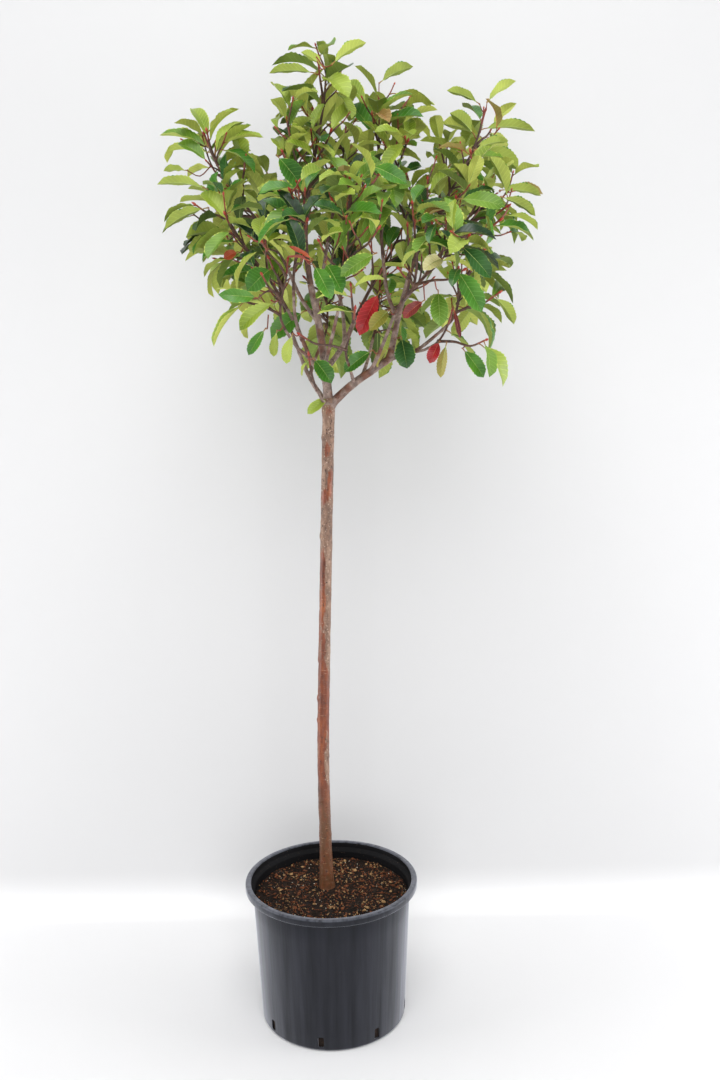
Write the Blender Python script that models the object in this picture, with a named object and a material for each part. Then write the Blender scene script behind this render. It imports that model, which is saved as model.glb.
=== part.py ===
# Photinia Red Robin grown as a half-standard: one bare stem with a round leafy head,
# standing in a round nursery pot filled with compost.
# Metres, +Z up. Origin at the middle of the pot's flat underside, -Y is the front.

import math
import random

import bmesh
import bpy
import numpy as np
from mathutils import Matrix, Vector, noise
from mathutils.bvhtree import BVHTree

SEAT_GAP = 0.0003                 # clearance that touching pieces keep
GOLDEN_TURN = math.radians(137.5)  # turn from one leaf or shoot to the next

# Pot
POT_HEIGHT = 0.2544
POT_BASE_RADIUS = 0.1288
POT_NECK_RADIUS = 0.1402          # outer wall just under the rolled rim
POT_RIM_RADIUS = 0.1534
POT_RIM_DEPTH = 0.0130
POT_LIP_RADIUS = 0.1435           # inner edge of the rim's flat top
POT_WALL = 0.0024
POT_CORNER = 0.0060
POT_ROUND = 0.0020                # rounding of the rim's edges
POT_SIDES = 36
SLOT_COUNT = 8
SLOT_WIDTH = 0.010
SLOT_LOW = 0.008
SLOT_HIGH = 0.027
SLOT_ANGLE = math.radians(-53.7)  # the slot that faces front right

# Compost
SOIL_HEIGHT = 0.2295
SOIL_EDGE_DROP = 0.0040
SOIL_RELIEF = 0.0030
SOIL_FLAT_RADIUS = 0.020          # level spot that the stem stands on

# Stem
FOOT = (-0.0088, 0.0142)
FORK_HEIGHT = 1.100
STEM_RADIUS = 0.0100
STEM_FLARE = 0.0040
STEM_FLARE_HEIGHT = 0.030
STEM_BENDS = ((-0.0095, 0.0120, 0.340), (-0.0090, 0.0080, 0.511), (0.0030, 0.0030, 0.832))
FORK_SPOT = (0.0135, 0.0000)
STEM_TAPER = 0.0008               # thicker by this at the foot
STEM_TAPER_HEIGHT = 0.30
HEAD_SWELL = 0.0010               # the knuckle that the boughs leave from
HEAD_HEIGHT = 0.03
HEAD_DOME = ((0.006, 0.86), (0.010, 0.55))  # rise, share of the radius
STEM_SIDES = 12
THICK_BOUGH = 0.005               # from this radius on a bough has more sides

# Boughs: parent, the points that the limb passes, radius at its start and at its tip
BOUGHS = {
    "bough_centre": ("trunk", ((0.013, 0.000, 1.095), (0.010, -0.003, 1.143),
                               (0.001, -0.005, 1.220), (-0.012, -0.008, 1.290)), 0.0084, 0.0050),
    "bough_right": ("trunk", ((0.014, 0.000, 1.092), (0.055, -0.006, 1.128),
                              (0.120, -0.010, 1.171)), 0.0076, 0.0058),
    "bough_right_up": ("bough_right", ((0.116, -0.010, 1.168), (0.129, -0.008, 1.228),
                                       (0.149, 0.000, 1.300)), 0.0056, 0.0036),
    "bough_right_inner": ("bough_right_up", ((0.129, -0.008, 1.230), (0.113, 0.004, 1.278),
                                             (0.107, 0.010, 1.335)), 0.0034, 0.0027),
    "bough_right_middle": ("bough_right_up", ((0.139, -0.005, 1.262), (0.168, -0.022, 1.292),
                                              (0.190, -0.032, 1.322)), 0.0029, 0.0024),
    "bough_right_low": ("bough_right", ((0.114, -0.010, 1.167), (0.161, -0.014, 1.182),
                                        (0.208, -0.020, 1.218)), 0.0034, 0.0024),
    "bough_front_right": ("bough_right", ((0.084, -0.009, 1.148), (0.100, -0.046, 1.182),
                                          (0.122, -0.080, 1.236)), 0.0034, 0.0024),
    "bough_front_low": ("bough_right", ((0.056, -0.006, 1.129), (0.052, -0.040, 1.146),
                                        (0.046, -0.070, 1.166)), 0.0028, 0.0022),
    "bough_front": ("bough_centre", ((0.008, -0.004, 1.158), (0.020, -0.038, 1.196),
                                     (0.034, -0.078, 1.246)), 0.0034, 0.0024),
    "bough_left": ("bough_centre", ((0.010, -0.003, 1.132), (-0.012, -0.010, 1.165),
                                    (-0.030, -0.016, 1.208), (-0.050, -0.022, 1.250)), 0.0040, 0.0028),
    "bough_left_low": ("bough_left", ((-0.016, -0.011, 1.172), (-0.036, -0.038, 1.190),
                                      (-0.052, -0.060, 1.216)), 0.0028, 0.0022),
    "bough_left_up": ("bough_centre", ((0.000, -0.005, 1.228), (-0.028, 0.000, 1.268),
                                       (-0.050, 0.006, 1.318)), 0.0034, 0.0026),
    "bough_front_left": ("bough_left", ((-0.027, -0.015, 1.200), (-0.036, -0.046, 1.236),
                                        (-0.036, -0.076, 1.276)), 0.0028, 0.0023),
    "bough_back_right": ("bough_centre", ((0.009, -0.003, 1.150), (0.038, 0.022, 1.190),
                                          (0.062, 0.052, 1.240)), 0.0050, 0.0034),
    "bough_back": ("bough_back_right", ((0.042, 0.026, 1.196), (0.040, 0.066, 1.236),
                                        (0.034, 0.100, 1.282)), 0.0034, 0.0025),
    "bough_back_left": ("trunk", ((0.012, 0.001, 1.094), (-0.020, 0.036, 1.142),
                                  (-0.048, 0.072, 1.212)), 0.0042, 0.0028),
    "bough_top_back": ("bough_centre", ((-0.005, -0.006, 1.250), (0.006, 0.026, 1.304),
                                        (0.016, 0.048, 1.362)), 0.0032, 0.0025),
    "bough_inner_left": ("bough_back_left", ((-0.019, 0.035, 1.141), (-0.010, 0.060, 1.170),
                                             (0.004, 0.084, 1.204)), 0.0030, 0.0022),
    "bough_inner_right": ("bough_right", ((0.070, -0.007, 1.139), (0.080, 0.030, 1.168),
                                          (0.090, 0.060, 1.204)), 0.0032, 0.0023),
    "bough_hanging": ("bough_right_low", ((0.150, -0.013, 1.178), (0.168, -0.034, 1.180),
                                          (0.182, -0.052, 1.186)), 0.0024, 0.0020),
    "bough_fork": ("trunk", ((0.012, -0.001, 1.094), (0.003, -0.016, 1.103),
                             (-0.004, -0.026, 1.118)), 0.0024, 0.0021),
}

# Foliage: the bough it grows on, the tip of its leading shoot, the tips of its other long
# shoots, and how many side shoots the growth rule adds
FOLIAGE = {
    "foliage_top_left": ("bough_centre", (0.023, -0.010, 1.636), ((-0.042, -0.040, 1.539),), 5),
    "foliage_top_right": ("bough_right_inner", (0.104, 0.010, 1.583), ((0.146, -0.050, 1.500),), 5),
    "foliage_top_back": ("bough_top_back", (0.050, 0.105, 1.560), ((0.000, 0.120, 1.520),), 4),
    "foliage_right_top": ("bough_right_up", (0.276, 0.025, 1.560), ((0.210, 0.080, 1.480),), 5),
    "foliage_right_middle": ("bough_right_middle", (0.264, -0.050, 1.430), ((0.200, -0.095, 1.412),), 5),
    "foliage_right_low": ("bough_right_low", (0.226, -0.030, 1.325), ((0.205, 0.045, 1.305),), 5),
    "foliage_front_right": ("bough_front_right", (0.214, -0.135, 1.350),
                               ((0.147, -0.160, 1.390), (0.128, -0.130, 1.300)), 5),
    "foliage_front_low": ("bough_front_low", (0.060, -0.150, 1.240), (), 2),
    "foliage_front": ("bough_front", (0.056, -0.170, 1.425),
                         ((0.100, -0.185, 1.342), (0.000, -0.150, 1.318)), 5),
    "foliage_front_left": ("bough_front_left", (-0.011, -0.150, 1.412), ((-0.086, -0.120, 1.425),), 4),
    "foliage_left_top": ("bough_left_up", (-0.176, 0.000, 1.526), ((-0.188, -0.050, 1.478),), 5),
    "foliage_left_middle": ("bough_left", (-0.152, -0.030, 1.428), ((-0.085, 0.055, 1.385),), 5),
    "foliage_left_low": ("bough_left_low", (-0.042, -0.105, 1.318), ((-0.056, -0.060, 1.296),), 4),
    "foliage_back_left": ("bough_back_left", (-0.085, 0.150, 1.450), ((-0.040, 0.180, 1.385),), 4),
    "foliage_back": ("bough_back", (0.020, 0.195, 1.440), ((0.060, 0.190, 1.360),), 5),
    "foliage_back_right": ("bough_back_right", (0.165, 0.150, 1.460), ((0.190, 0.110, 1.380),), 4),
    "foliage_inner_left": ("bough_inner_left", (0.010, 0.135, 1.300), ((-0.030, 0.130, 1.268),), 4),
    "foliage_inner_right": ("bough_inner_right", (0.104, 0.112, 1.300), ((0.072, 0.110, 1.262),), 4),
    "foliage_right_hanging": ("bough_hanging", (0.212, -0.080, 1.238), (), 1),
    "foliage_fork": ("bough_fork", (-0.016, -0.040, 1.174), (), 0),
}
# the lowest shoots carry leaves near their tips only, and the fork's spur has small ones
SPARSE_LENGTHS = {"foliage_fork": 0.022, "foliage_right_hanging": 0.045, "foliage_front_low": 0.048}
LEAF_SIZES = {"foliage_fork": 0.58}

# Growth rule
LEAD_RADIUS = 0.0021
SHOOT_RADIUS = 0.0017
TIP_RADIUS = 0.0010
SHOOT_LENGTH = (0.088, 0.130)
SHOOT_TAPER = 0.50                # shoots nearer the leading tip are shorter
SHOOT_ANGLE = math.radians(48)
FORK_START = 0.34                 # where a long shoot leaves the leading one, as a share of it
SHOOT_START = 0.24
SHOOT_END = 0.80
SHOOT_CLEAR = 0.002               # shoots keep this far from the boughs
LEAFY_LENGTH = 0.165              # a shoot carries leaves this far back from its tip
LEAF_LENGTH = (0.072, 0.092)      # with its stalk
LEAF_WIDTH = 0.38                 # share of its length
LEAF_THICKNESS = 0.0014
LEAF_SINK = 0.0003
LEAF_BEND = 0.17
LEAF_FOLD = 0.26
LEAF_ANGLE = math.radians(50)     # between the shoot's tip and its first leaf
LEAF_ANGLE_MORE = math.radians(34)  # wider by this much further down the shoot
LEAF_ANGLE_REACH = 0.070
LEAF_SPREAD = 0.14                # a leaf's angle is off by up to this
LEAF_YOUNG = (0.72, 0.90)         # size of the first and second leaf from the tip
LEAF_NEARBY = 0.085               # leaves farther apart than this can't touch
HANG_HEIGHT = 1.30                # leaves hang more and more below this height
HANG_RANGE = 0.12
LEAF_FIRST = 0.005                # from the shoot's tip to its first leaf
LEAF_PITCH = 0.0122
LEAF_PITCH_GROWTH = 0.0010
SPACE_MARGIN = 0.0030             # by which a leaf is nearer to its own leading shoot
LIMB_MARGIN = 0.0015
SPACE_REACH = 0.050               # the space runs this far past the leading shoot's tip
# turn about the shoot and change of angle that a leaf tries before it is left out
LEAF_TRIES = ((0.0, 0.0), (0.45, 0.0), (-0.45, 0.0), (0.0, 0.3), (0.0, -0.3), (0.9, 0.1), (-0.9, 0.1))
SHOOT_TRIES = ((0.0, 1.0), (0.8, 0.9), (-0.8, 0.9), (1.6, 0.75), (-1.6, 0.75), (0.0, 0.55))


def clear_scene():
    for obj in list(bpy.data.objects):
        bpy.data.objects.remove(obj, do_unlink=True)


def new_material(name, colour, roughness, metallic=0.0):
    material = bpy.data.materials.new(name)
    material.use_nodes = True
    shader = material.node_tree.nodes["Principled BSDF"]
    shader.inputs["Base Color"].default_value = (*colour, 1.0)
    shader.inputs["Roughness"].default_value = roughness
    shader.inputs["Metallic"].default_value = metallic
    return material


def new_object(name, vertices, faces, material=None):
    mesh = bpy.data.meshes.new(name)
    mesh.from_pydata([tuple(v) for v in vertices], [], faces)
    mesh.update()
    obj = bpy.data.objects.new(name, mesh)
    bpy.context.scene.collection.objects.link(obj)
    if material:
        mesh.materials.append(material)
    return obj


def apply_modifiers(obj):
    depsgraph = bpy.context.evaluated_depsgraph_get()
    mesh = bpy.data.meshes.new_from_object(obj.evaluated_get(depsgraph))
    old = obj.data
    obj.modifiers.clear()
    obj.data = mesh
    bpy.data.meshes.remove(old)


def cut_away(obj, cutter):
    cut = obj.modifiers.new("cut", "BOOLEAN")
    cut.operation = "DIFFERENCE"
    cut.solver = "EXACT"
    cut.object = cutter
    apply_modifiers(obj)
    bpy.data.objects.remove(cutter, do_unlink=True)


def faces_round(start, bm):
    # the faces that hang together with one face
    found = {start}
    waiting = [start]
    while waiting:
        face = waiting.pop()
        for edge in face.edges:
            for near in edge.link_faces:
                if near not in found:
                    found.add(near)
                    waiting.append(near)
    return found


def keep_main_body(obj):
    # drops loose scraps and fills sealed hollows: only the largest closed skin stays
    bm = bmesh.new()
    bm.from_mesh(obj.data)
    bmesh.ops.triangulate(bm, faces=bm.faces)
    left = set(bm.faces)
    skins = []
    while left:
        skin = faces_round(next(iter(left)), bm)
        left -= skin
        volume = 0.0
        for face in skin:
            a, b, c = (v.co for v in face.verts)
            volume += a.dot(b.cross(c)) / 6.0
        skins.append((volume, skin))
    skins.sort(key=lambda item: item[0], reverse=True)
    extra = [face for _, skin in skins[1:] for face in skin]
    bmesh.ops.delete(bm, geom=extra, context="FACES")
    bm.to_mesh(obj.data)
    bm.free()


def turned(name, profile, sides, material):
    # a profile of (radius, height) points turned round Z; its first and last points are on the axis
    vertices = []
    faces = []
    rings = profile[1:-1]
    for radius, height in rings:
        for i in range(sides):
            angle = 2 * math.pi * i / sides
            vertices.append((radius * math.cos(angle), radius * math.sin(angle), height))
    for r in range(len(rings) - 1):
        for i in range(sides):
            j = (i + 1) % sides
            faces.append((r * sides + i, r * sides + j, (r + 1) * sides + j, (r + 1) * sides + i))
    faces.append(tuple(reversed(range(sides))))
    last = (len(rings) - 1) * sides
    faces.append(tuple(last + i for i in range(sides)))
    return new_object(name, vertices, faces, material)


def wall_radius(height):
    # outer radius of the pot's tapering wall
    share = height / (POT_HEIGHT - POT_RIM_DEPTH)
    return POT_BASE_RADIUS + (POT_NECK_RADIUS - POT_BASE_RADIUS) * share


def make_pot(material):
    rim_low = POT_HEIGHT - POT_RIM_DEPTH
    profile = [(0.0, 0.0), (POT_BASE_RADIUS - POT_CORNER, 0.0)]
    for step in (1, 2):
        angle = math.radians(45 * step)
        profile.append((wall_radius(POT_CORNER) - POT_CORNER * (1 - math.sin(angle)),
                        POT_CORNER * (1 - math.cos(angle))))
    profile += [
        (wall_radius(rim_low), rim_low - POT_ROUND),
        (POT_RIM_RADIUS - POT_ROUND, rim_low),
        (POT_RIM_RADIUS, rim_low + POT_ROUND),
        (POT_RIM_RADIUS, POT_HEIGHT - POT_ROUND),
        (POT_RIM_RADIUS - POT_ROUND, POT_HEIGHT),
        (POT_LIP_RADIUS + POT_ROUND, POT_HEIGHT),
        (POT_LIP_RADIUS, POT_HEIGHT - POT_ROUND),
        (wall_radius(rim_low) - POT_WALL, rim_low - POT_ROUND),
        (wall_radius(POT_CORNER) - POT_WALL, POT_CORNER),
        (POT_BASE_RADIUS - POT_CORNER, POT_WALL),
        (0.0, POT_WALL),
    ]
    pot = turned("pot", profile, POT_SIDES, material)
    height = SLOT_HIGH - SLOT_LOW
    for k in range(SLOT_COUNT):
        angle = SLOT_ANGLE + 2 * math.pi * k / SLOT_COUNT
        bm = bmesh.new()
        bmesh.ops.create_cube(bm, size=1.0)
        size = Matrix.Diagonal((4 * POT_CORNER, SLOT_WIDTH, height, 1.0))
        place = Matrix.Rotation(angle, 4, "Z") @ Matrix.Translation(
            (POT_BASE_RADIUS, 0.0, SLOT_LOW + height / 2))
        bm.transform(place @ size)
        mesh = bpy.data.meshes.new("slot")
        bm.to_mesh(mesh)
        bm.free()
        cutter = bpy.data.objects.new("slot", mesh)
        bpy.context.scene.collection.objects.link(cutter)
        cut_away(pot, cutter)
    pot.data.shade_smooth()
    pot.data.set_sharp_from_angle(angle=math.radians(35))
    return pot


def soil_height(x, y):
    # level round the stem's foot, gently uneven outside it and lower at the wall
    away = math.hypot(x - FOOT[0], y - FOOT[1])
    blend = min(1.0, max(0.0, (away - SOIL_FLAT_RADIUS) / 0.02))
    bumps = noise.noise(Vector((x * 28, y * 28, 0.3))) * SOIL_RELIEF
    edge = SOIL_EDGE_DROP * (math.hypot(x, y) / POT_NECK_RADIUS) ** 2
    return SOIL_HEIGHT + blend * (bumps - edge)


def make_soil(material):
    # rings run from the level spot at the stem's foot out to the pot's wall, then down inside it
    vertices = []
    faces = []
    top_radius = wall_radius(SOIL_HEIGHT) - POT_WALL - 2 * SEAT_GAP
    low_radius = POT_BASE_RADIUS - POT_CORNER - SEAT_GAP
    corner_radius = wall_radius(POT_CORNER) - POT_WALL - 2 * SEAT_GAP
    shares = (0.16, 0.36, 0.58, 0.80, 1.0)
    floor = POT_WALL + SEAT_GAP
    for share in shares:
        out = max(0.0, (share - shares[0]) / (1 - shares[0]))
        for i in range(POT_SIDES):
            angle = 2 * math.pi * i / POT_SIDES
            x = FOOT[0] * (1 - out) + top_radius * share * math.cos(angle)
            y = FOOT[1] * (1 - out) + top_radius * share * math.sin(angle)
            vertices.append((x, y, soil_height(x, y)))
    for radius, height in ((corner_radius, POT_CORNER), (low_radius, floor)):
        for i in range(POT_SIDES):
            angle = 2 * math.pi * i / POT_SIDES
            vertices.append((radius * math.cos(angle), radius * math.sin(angle), height))
    rings = len(shares) + 2
    for r in range(rings - 1):
        for i in range(POT_SIDES):
            j = (i + 1) % POT_SIDES
            faces.append(((r + 1) * POT_SIDES + i, (r + 1) * POT_SIDES + j,
                          r * POT_SIDES + j, r * POT_SIDES + i))
    faces.append(tuple(range(POT_SIDES)))
    last = (rings - 1) * POT_SIDES
    faces.append(tuple(last + i for i in reversed(range(POT_SIDES))))
    return new_object("soil", vertices, faces, material)


def smooth_path(points, steps):
    # a curve through the points, as steps + 1 points
    through = [Vector(p) for p in points]
    ends = [2 * through[0] - through[1]] + through + [2 * through[-1] - through[-2]]
    spans = len(through) - 1
    path = []
    for i in range(steps + 1):
        t = spans * i / steps
        k = min(int(t), spans - 1)
        u = t - k
        a, b, c, d = ends[k:k + 4]
        path.append(0.5 * (2 * b + (c - a) * u + (2 * a - 5 * b + 4 * c - d) * u ** 2
                           + (3 * b - 3 * c + d - a) * u ** 3))
    return path


def bent_path(start, leave, end, arrive, steps):
    # leaves the start along one direction and arrives at the end along another
    reach = (end - start).length * 0.36
    a, b, c, d = start, start + leave * reach, end - arrive * reach, end
    path = []
    for i in range(steps + 1):
        t = i / steps
        s = 1 - t
        path.append(a * s ** 3 + b * (3 * s * s * t) + c * (3 * s * t * t) + d * t ** 3)
    return path


def direction_at(path, i):
    return (path[min(i + 1, len(path) - 1)] - path[max(i - 1, 0)]).normalized()


def tube(path, radii, sides):
    # a closed tube with flat ends, its rings square to the path
    vertices = []
    faces = []
    across = direction_at(path, 0).orthogonal().normalized()
    for i, point in enumerate(path):
        along = direction_at(path, i)
        across = (across - along * across.dot(along)).normalized()
        other = along.cross(across)
        for k in range(sides):
            angle = 2 * math.pi * k / sides
            vertices.append(point + (across * math.cos(angle) + other * math.sin(angle)) * radii[i])
    for r in range(len(path) - 1):
        for k in range(sides):
            j = (k + 1) % sides
            faces.append((r * sides + k, r * sides + j, (r + 1) * sides + j, (r + 1) * sides + k))
    faces.append(tuple(reversed(range(sides))))
    last = (len(path) - 1) * sides
    faces.append(tuple(last + k for k in range(sides)))
    return vertices, faces


def grown_tube(limb):
    # the limb's tube with the seat gap added all round, to cut its neighbours with
    path = [p.copy() for p in limb["path"]]
    path[0] -= direction_at(limb["path"], 0) * SEAT_GAP
    path[-1] += direction_at(limb["path"], len(path) - 1) * SEAT_GAP
    more = SEAT_GAP / math.cos(math.pi / limb["sides"])
    return tube(path, [r + more for r in limb["radii"]], limb["sides"])


def trunk_limb():
    points = ((*FOOT, SOIL_HEIGHT + SEAT_GAP), *STEM_BENDS, (*FORK_SPOT, FORK_HEIGHT))
    steps = 15
    path = smooth_path(points, steps)
    radii = []
    for point in path:
        up = point.z - path[0].z
        down = FORK_HEIGHT - point.z
        radii.append(STEM_RADIUS + STEM_FLARE * math.exp(-up / STEM_FLARE_HEIGHT)
                     + HEAD_SWELL * math.exp(-(down / HEAD_HEIGHT) ** 2)
                     + STEM_TAPER * math.exp(-up / STEM_TAPER_HEIGHT))
    # a short low dome closes the head
    along = direction_at(path, steps)
    for rise, share in HEAD_DOME:
        path.append(path[steps] + along * rise)
        radii.append(radii[steps] * share)
    return {"path": path, "radii": radii, "sides": STEM_SIDES}


def bough_limb(points, start_radius, tip_radius):
    steps = 6
    path = smooth_path(points, steps)
    radii = [start_radius + (tip_radius - start_radius) * i / steps for i in range(steps + 1)]
    return {"path": path, "radii": radii, "sides": 8 if start_radius > THICK_BOUGH else 6}


def segment_distances(points, starts, ends):
    # distance from each point to each straight segment
    p = np.asarray([tuple(v) for v in points])[:, None, :]
    span = ends - starts
    share = ((p - starts) * span).sum(-1) / (span * span).sum(-1)
    share = np.clip(share, 0.0, 1.0)[..., None]
    return np.linalg.norm(p - (starts + share * span), axis=-1)


def segments_of(path):
    return [(tuple(a), tuple(b)) for a, b in zip(path, path[1:])]


def limb_table(limbs):
    starts, ends, radii = [], [], []
    for limb in limbs.values():
        for i, (a, b) in enumerate(segments_of(limb["path"])):
            starts.append(a)
            ends.append(b)
            radii.append(max(limb["radii"][i], limb["radii"][i + 1]))
    return np.array(starts), np.array(ends), np.array(radii)


def space_table(spines):
    starts, ends, owners = [], [], []
    for name, path in spines.items():
        reached = path + [path[-1] + direction_at(path, len(path) - 1) * SPACE_REACH]
        for a, b in segments_of(reached):
            starts.append(a)
            ends.append(b)
            owners.append(name)
    return np.array(starts), np.array(ends), np.array(owners)


def clear_of_limbs(points, table, margin=LIMB_MARGIN):
    starts, ends, radii = table
    return bool((segment_distances(points, starts, ends) > radii + margin).all())


def in_own_space(points, name, table):
    starts, ends, owners = table
    away = segment_distances(points, starts, ends)
    own = away[:, owners == name].min(axis=1)
    others = away[:, owners != name].min(axis=1)
    return bool((own + SPACE_MARGIN < others).all())


def lead_path(limb, tip):
    # carries on from the bough's tip, and turns upwards to the tip of the leading shoot
    leave = direction_at(limb["path"], len(limb["path"]) - 1)
    start = limb["path"][-1] + leave * SEAT_GAP
    tip = Vector(tip)
    arrive = ((tip - start).normalized() * 0.6 + Vector((0, 0, 0.7))).normalized()
    return bent_path(start, leave, tip, arrive, 6)


def side_path(stem, share, tip):
    # leaves the stem at a share of its length and turns upwards to its own tip
    spot = share * (len(stem) - 1)
    k = min(int(spot), len(stem) - 2)
    start = stem[k].lerp(stem[k + 1], spot - k)
    along = direction_at(stem, k)
    leave = ((tip - start).normalized() * 0.8 + along * 0.5).normalized()
    arrive = ((tip - start).normalized() * 0.7 + Vector((0, 0, 0.5))).normalized()
    return bent_path(start, leave, tip, arrive, 3)


def leaf_points(root, along, up, length, width, bend, fold):
    # root, widest points left and right, middle of the midrib and tip of an arching folded leaf
    side = along.cross(up)
    middle = root + along * (0.46 * length) + up * (0.45 * bend * length)
    edge = root + along * (0.56 * length) + up * (0.42 * bend * length + fold * width / 2)
    return {
        "root": root,
        "middle": middle,
        "left": edge - side * (width / 2),
        "right": edge + side * (width / 2),
        "tip": root + along * (0.985 * length) - up * (bend * length),
        "up": up,
    }


def leaf_samples(leaf):
    root, middle, tip = leaf["root"], leaf["middle"], leaf["tip"]
    points = [middle, leaf["left"], leaf["right"], tip]
    for edge in ("left", "right"):
        points.append(leaf[edge].lerp(tip, 0.5))
        points.append(leaf[edge].lerp(root, 0.4))
    points.append(root.lerp(middle, 0.3))
    return points


def leaf_tree(leaf):
    corners = [leaf[k] for k in ("root", "right", "middle", "left", "tip")]
    return BVHTree.FromPolygons(corners, [(0, 1, 2), (0, 2, 3), (2, 1, 4), (2, 4, 3)])


def leaf_solid(leaf):
    # eight faces: a thin blade, thickest along its midrib, its root sunk through its twig's middle
    half = leaf["up"] * (LEAF_THICKNESS / 2)
    sunk = leaf["root"] - (leaf["middle"] - leaf["root"]).normalized() * LEAF_SINK
    vertices = [sunk, leaf["left"], leaf["right"], leaf["middle"] + half, leaf["middle"] - half, leaf["tip"]]
    faces = [(0, 2, 3), (0, 3, 1), (3, 2, 5), (3, 5, 1), (0, 4, 2), (0, 1, 4), (4, 5, 2), (4, 1, 5)]
    return vertices, faces


def path_length(path):
    return sum((b - a).length for a, b in zip(path, path[1:]))


def point_from_tip(path, back):
    # point and direction on a path, measured back from its tip
    for i in range(len(path) - 1, 0, -1):
        span = (path[i] - path[i - 1]).length
        if back <= span:
            return path[i].lerp(path[i - 1], back / span), (path[i] - path[i - 1]).normalized()
        back -= span
    return None


def grow_leaves(path, rng, fits, leafy_length, size):
    # leaves stand in a spiral, close together at the tip, and arch outwards
    leaves = []
    phase = rng.uniform(0, 2 * math.pi)
    leafy = min(leafy_length, 0.86 * path_length(path))
    back = LEAF_FIRST
    i = 0
    while back < leafy:
        spot, along = point_from_tip(path, back)
        turn = phase + i * GOLDEN_TURN + rng.uniform(-0.25, 0.25)
        open_angle = LEAF_ANGLE + LEAF_ANGLE_MORE * min(1.0, back / LEAF_ANGLE_REACH)
        open_angle += rng.uniform(-LEAF_SPREAD, LEAF_SPREAD)
        length = rng.uniform(*LEAF_LENGTH) * size * (LEAF_YOUNG[i] if i < len(LEAF_YOUNG) else 1.0)
        width = length * LEAF_WIDTH * rng.uniform(0.9, 1.1)
        bend = LEAF_BEND * rng.uniform(0.6, 1.5)
        across = along.orthogonal().normalized()
        for more_turn, more_angle in LEAF_TRIES:
            out = Matrix.Rotation(turn + more_turn, 3, along) @ across
            angle = open_angle + more_angle
            hang = min(1.0, max(0.0, (HANG_HEIGHT - spot.z) / HANG_RANGE))
            ahead = along * math.cos(angle) + out * math.sin(angle)
            ahead = (ahead * (1 - 0.5 * hang) - Vector((0, 0, 0.9 * hang))).normalized()
            up = along * 0.8 + Vector((0, 0, 0.6)) - out * 0.2
            up = (up - ahead * up.dot(ahead)).normalized()
            leaf = leaf_points(spot, ahead, up, length, width, bend, LEAF_FOLD)
            if fits(leaf):
                leaves.append(leaf)
                break
        back += LEAF_PITCH + LEAF_PITCH_GROWTH * i
        i += 1
    return leaves


def grow_foliage(name, spine, spaces, limbs, long_tips, side_count):
    # twigs as (path, start radius, tip radius, sides) and leaves of one mass of foliage
    rng = random.Random("photinia " + name)
    twigs = [(spine, LEAD_RADIUS, TIP_RADIUS, 4)]
    for tip in long_tips:
        path = side_path(spine, FORK_START, Vector(tip))
        if in_own_space(path[1:], name, spaces) and clear_of_limbs(path[1:], limbs, SHOOT_CLEAR):
            twigs.append((path, SHOOT_RADIUS, TIP_RADIUS, 3))
    phase = rng.uniform(0, 2 * math.pi)
    for k in range(side_count):
        share = SHOOT_START + (SHOOT_END - SHOOT_START) * k / max(1, side_count - 1)
        spot = share * (len(spine) - 1)
        at = min(int(spot), len(spine) - 2)
        start = spine[at].lerp(spine[at + 1], spot - at)
        along = direction_at(spine, at)
        across = along.orthogonal().normalized()
        length = rng.uniform(*SHOOT_LENGTH) * (1 - SHOOT_TAPER * share)
        angle = SHOOT_ANGLE + rng.uniform(-0.15, 0.15)
        for more_turn, shrink in SHOOT_TRIES:
            out = Matrix.Rotation(phase + k * GOLDEN_TURN + more_turn, 3, along) @ across
            ahead = along * math.cos(angle) + out * math.sin(angle)
            tip = start + (ahead + Vector((0, 0, 0.15))).normalized() * length * shrink
            path = side_path(spine, share, tip)
            if in_own_space(path[1:], name, spaces) and clear_of_limbs(path[1:], limbs, SHOOT_CLEAR):
                twigs.append((path, SHOOT_RADIUS, TIP_RADIUS, 3))
                break
    trees = []
    for path, start_radius, tip_radius, sides in twigs:
        radii = [start_radius + (tip_radius - start_radius) * i / (len(path) - 1) for i in range(len(path))]
        trees.append(BVHTree.FromPolygons(*tube(path, radii, sides)))
    grown = []

    for index, twig in enumerate(twigs):
        def fits(leaf):
            samples = leaf_samples(leaf)
            if not in_own_space(samples, name, spaces) or not clear_of_limbs(samples, limbs):
                return False
            shape = leaf_tree(leaf)
            if any(shape.overlap(tree) for i, tree in enumerate(trees) if i != index):
                return False
            centre = leaf["middle"]
            for other, tree in grown:
                if (other["middle"] - centre).length < LEAF_NEARBY and shape.overlap(tree):
                    return False
            grown.append((leaf, shape))
            return True
        leafy_length = SPARSE_LENGTHS.get(name, LEAFY_LENGTH)
        grow_leaves(twig[0], rng, fits, leafy_length, LEAF_SIZES.get(name, 1.0))
    return twigs, [leaf for leaf, _ in grown]


def make_foliage(name, twigs, leaves, material):
    # the leading shoot is joined with its side shoots and leaves by one union
    group = bpy.data.collections.new(name)
    bpy.context.scene.collection.children.link(group)
    whole = None
    for path, start_radius, tip_radius, sides in twigs:
        radii = [start_radius + (tip_radius - start_radius) * i / (len(path) - 1) for i in range(len(path))]
        twig = new_object(name + "_twig", *tube(path, radii, sides))
        if whole is None:
            whole = twig
        else:
            bpy.context.scene.collection.objects.unlink(twig)
            group.objects.link(twig)
    for leaf in leaves:
        blade = new_object(name + "_leaf", *leaf_solid(leaf))
        bpy.context.scene.collection.objects.unlink(blade)
        group.objects.link(blade)
    join = whole.modifiers.new("join", "BOOLEAN")
    join.operation = "UNION"
    join.solver = "EXACT"
    join.operand_type = "COLLECTION"
    join.collection = group
    apply_modifiers(whole)
    for piece in list(group.objects):
        bpy.data.objects.remove(piece, do_unlink=True)
    bpy.data.collections.remove(group)
    whole.name = name
    keep_main_body(whole)
    whole.data.materials.clear()
    whole.data.materials.append(material)
    return whole


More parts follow.
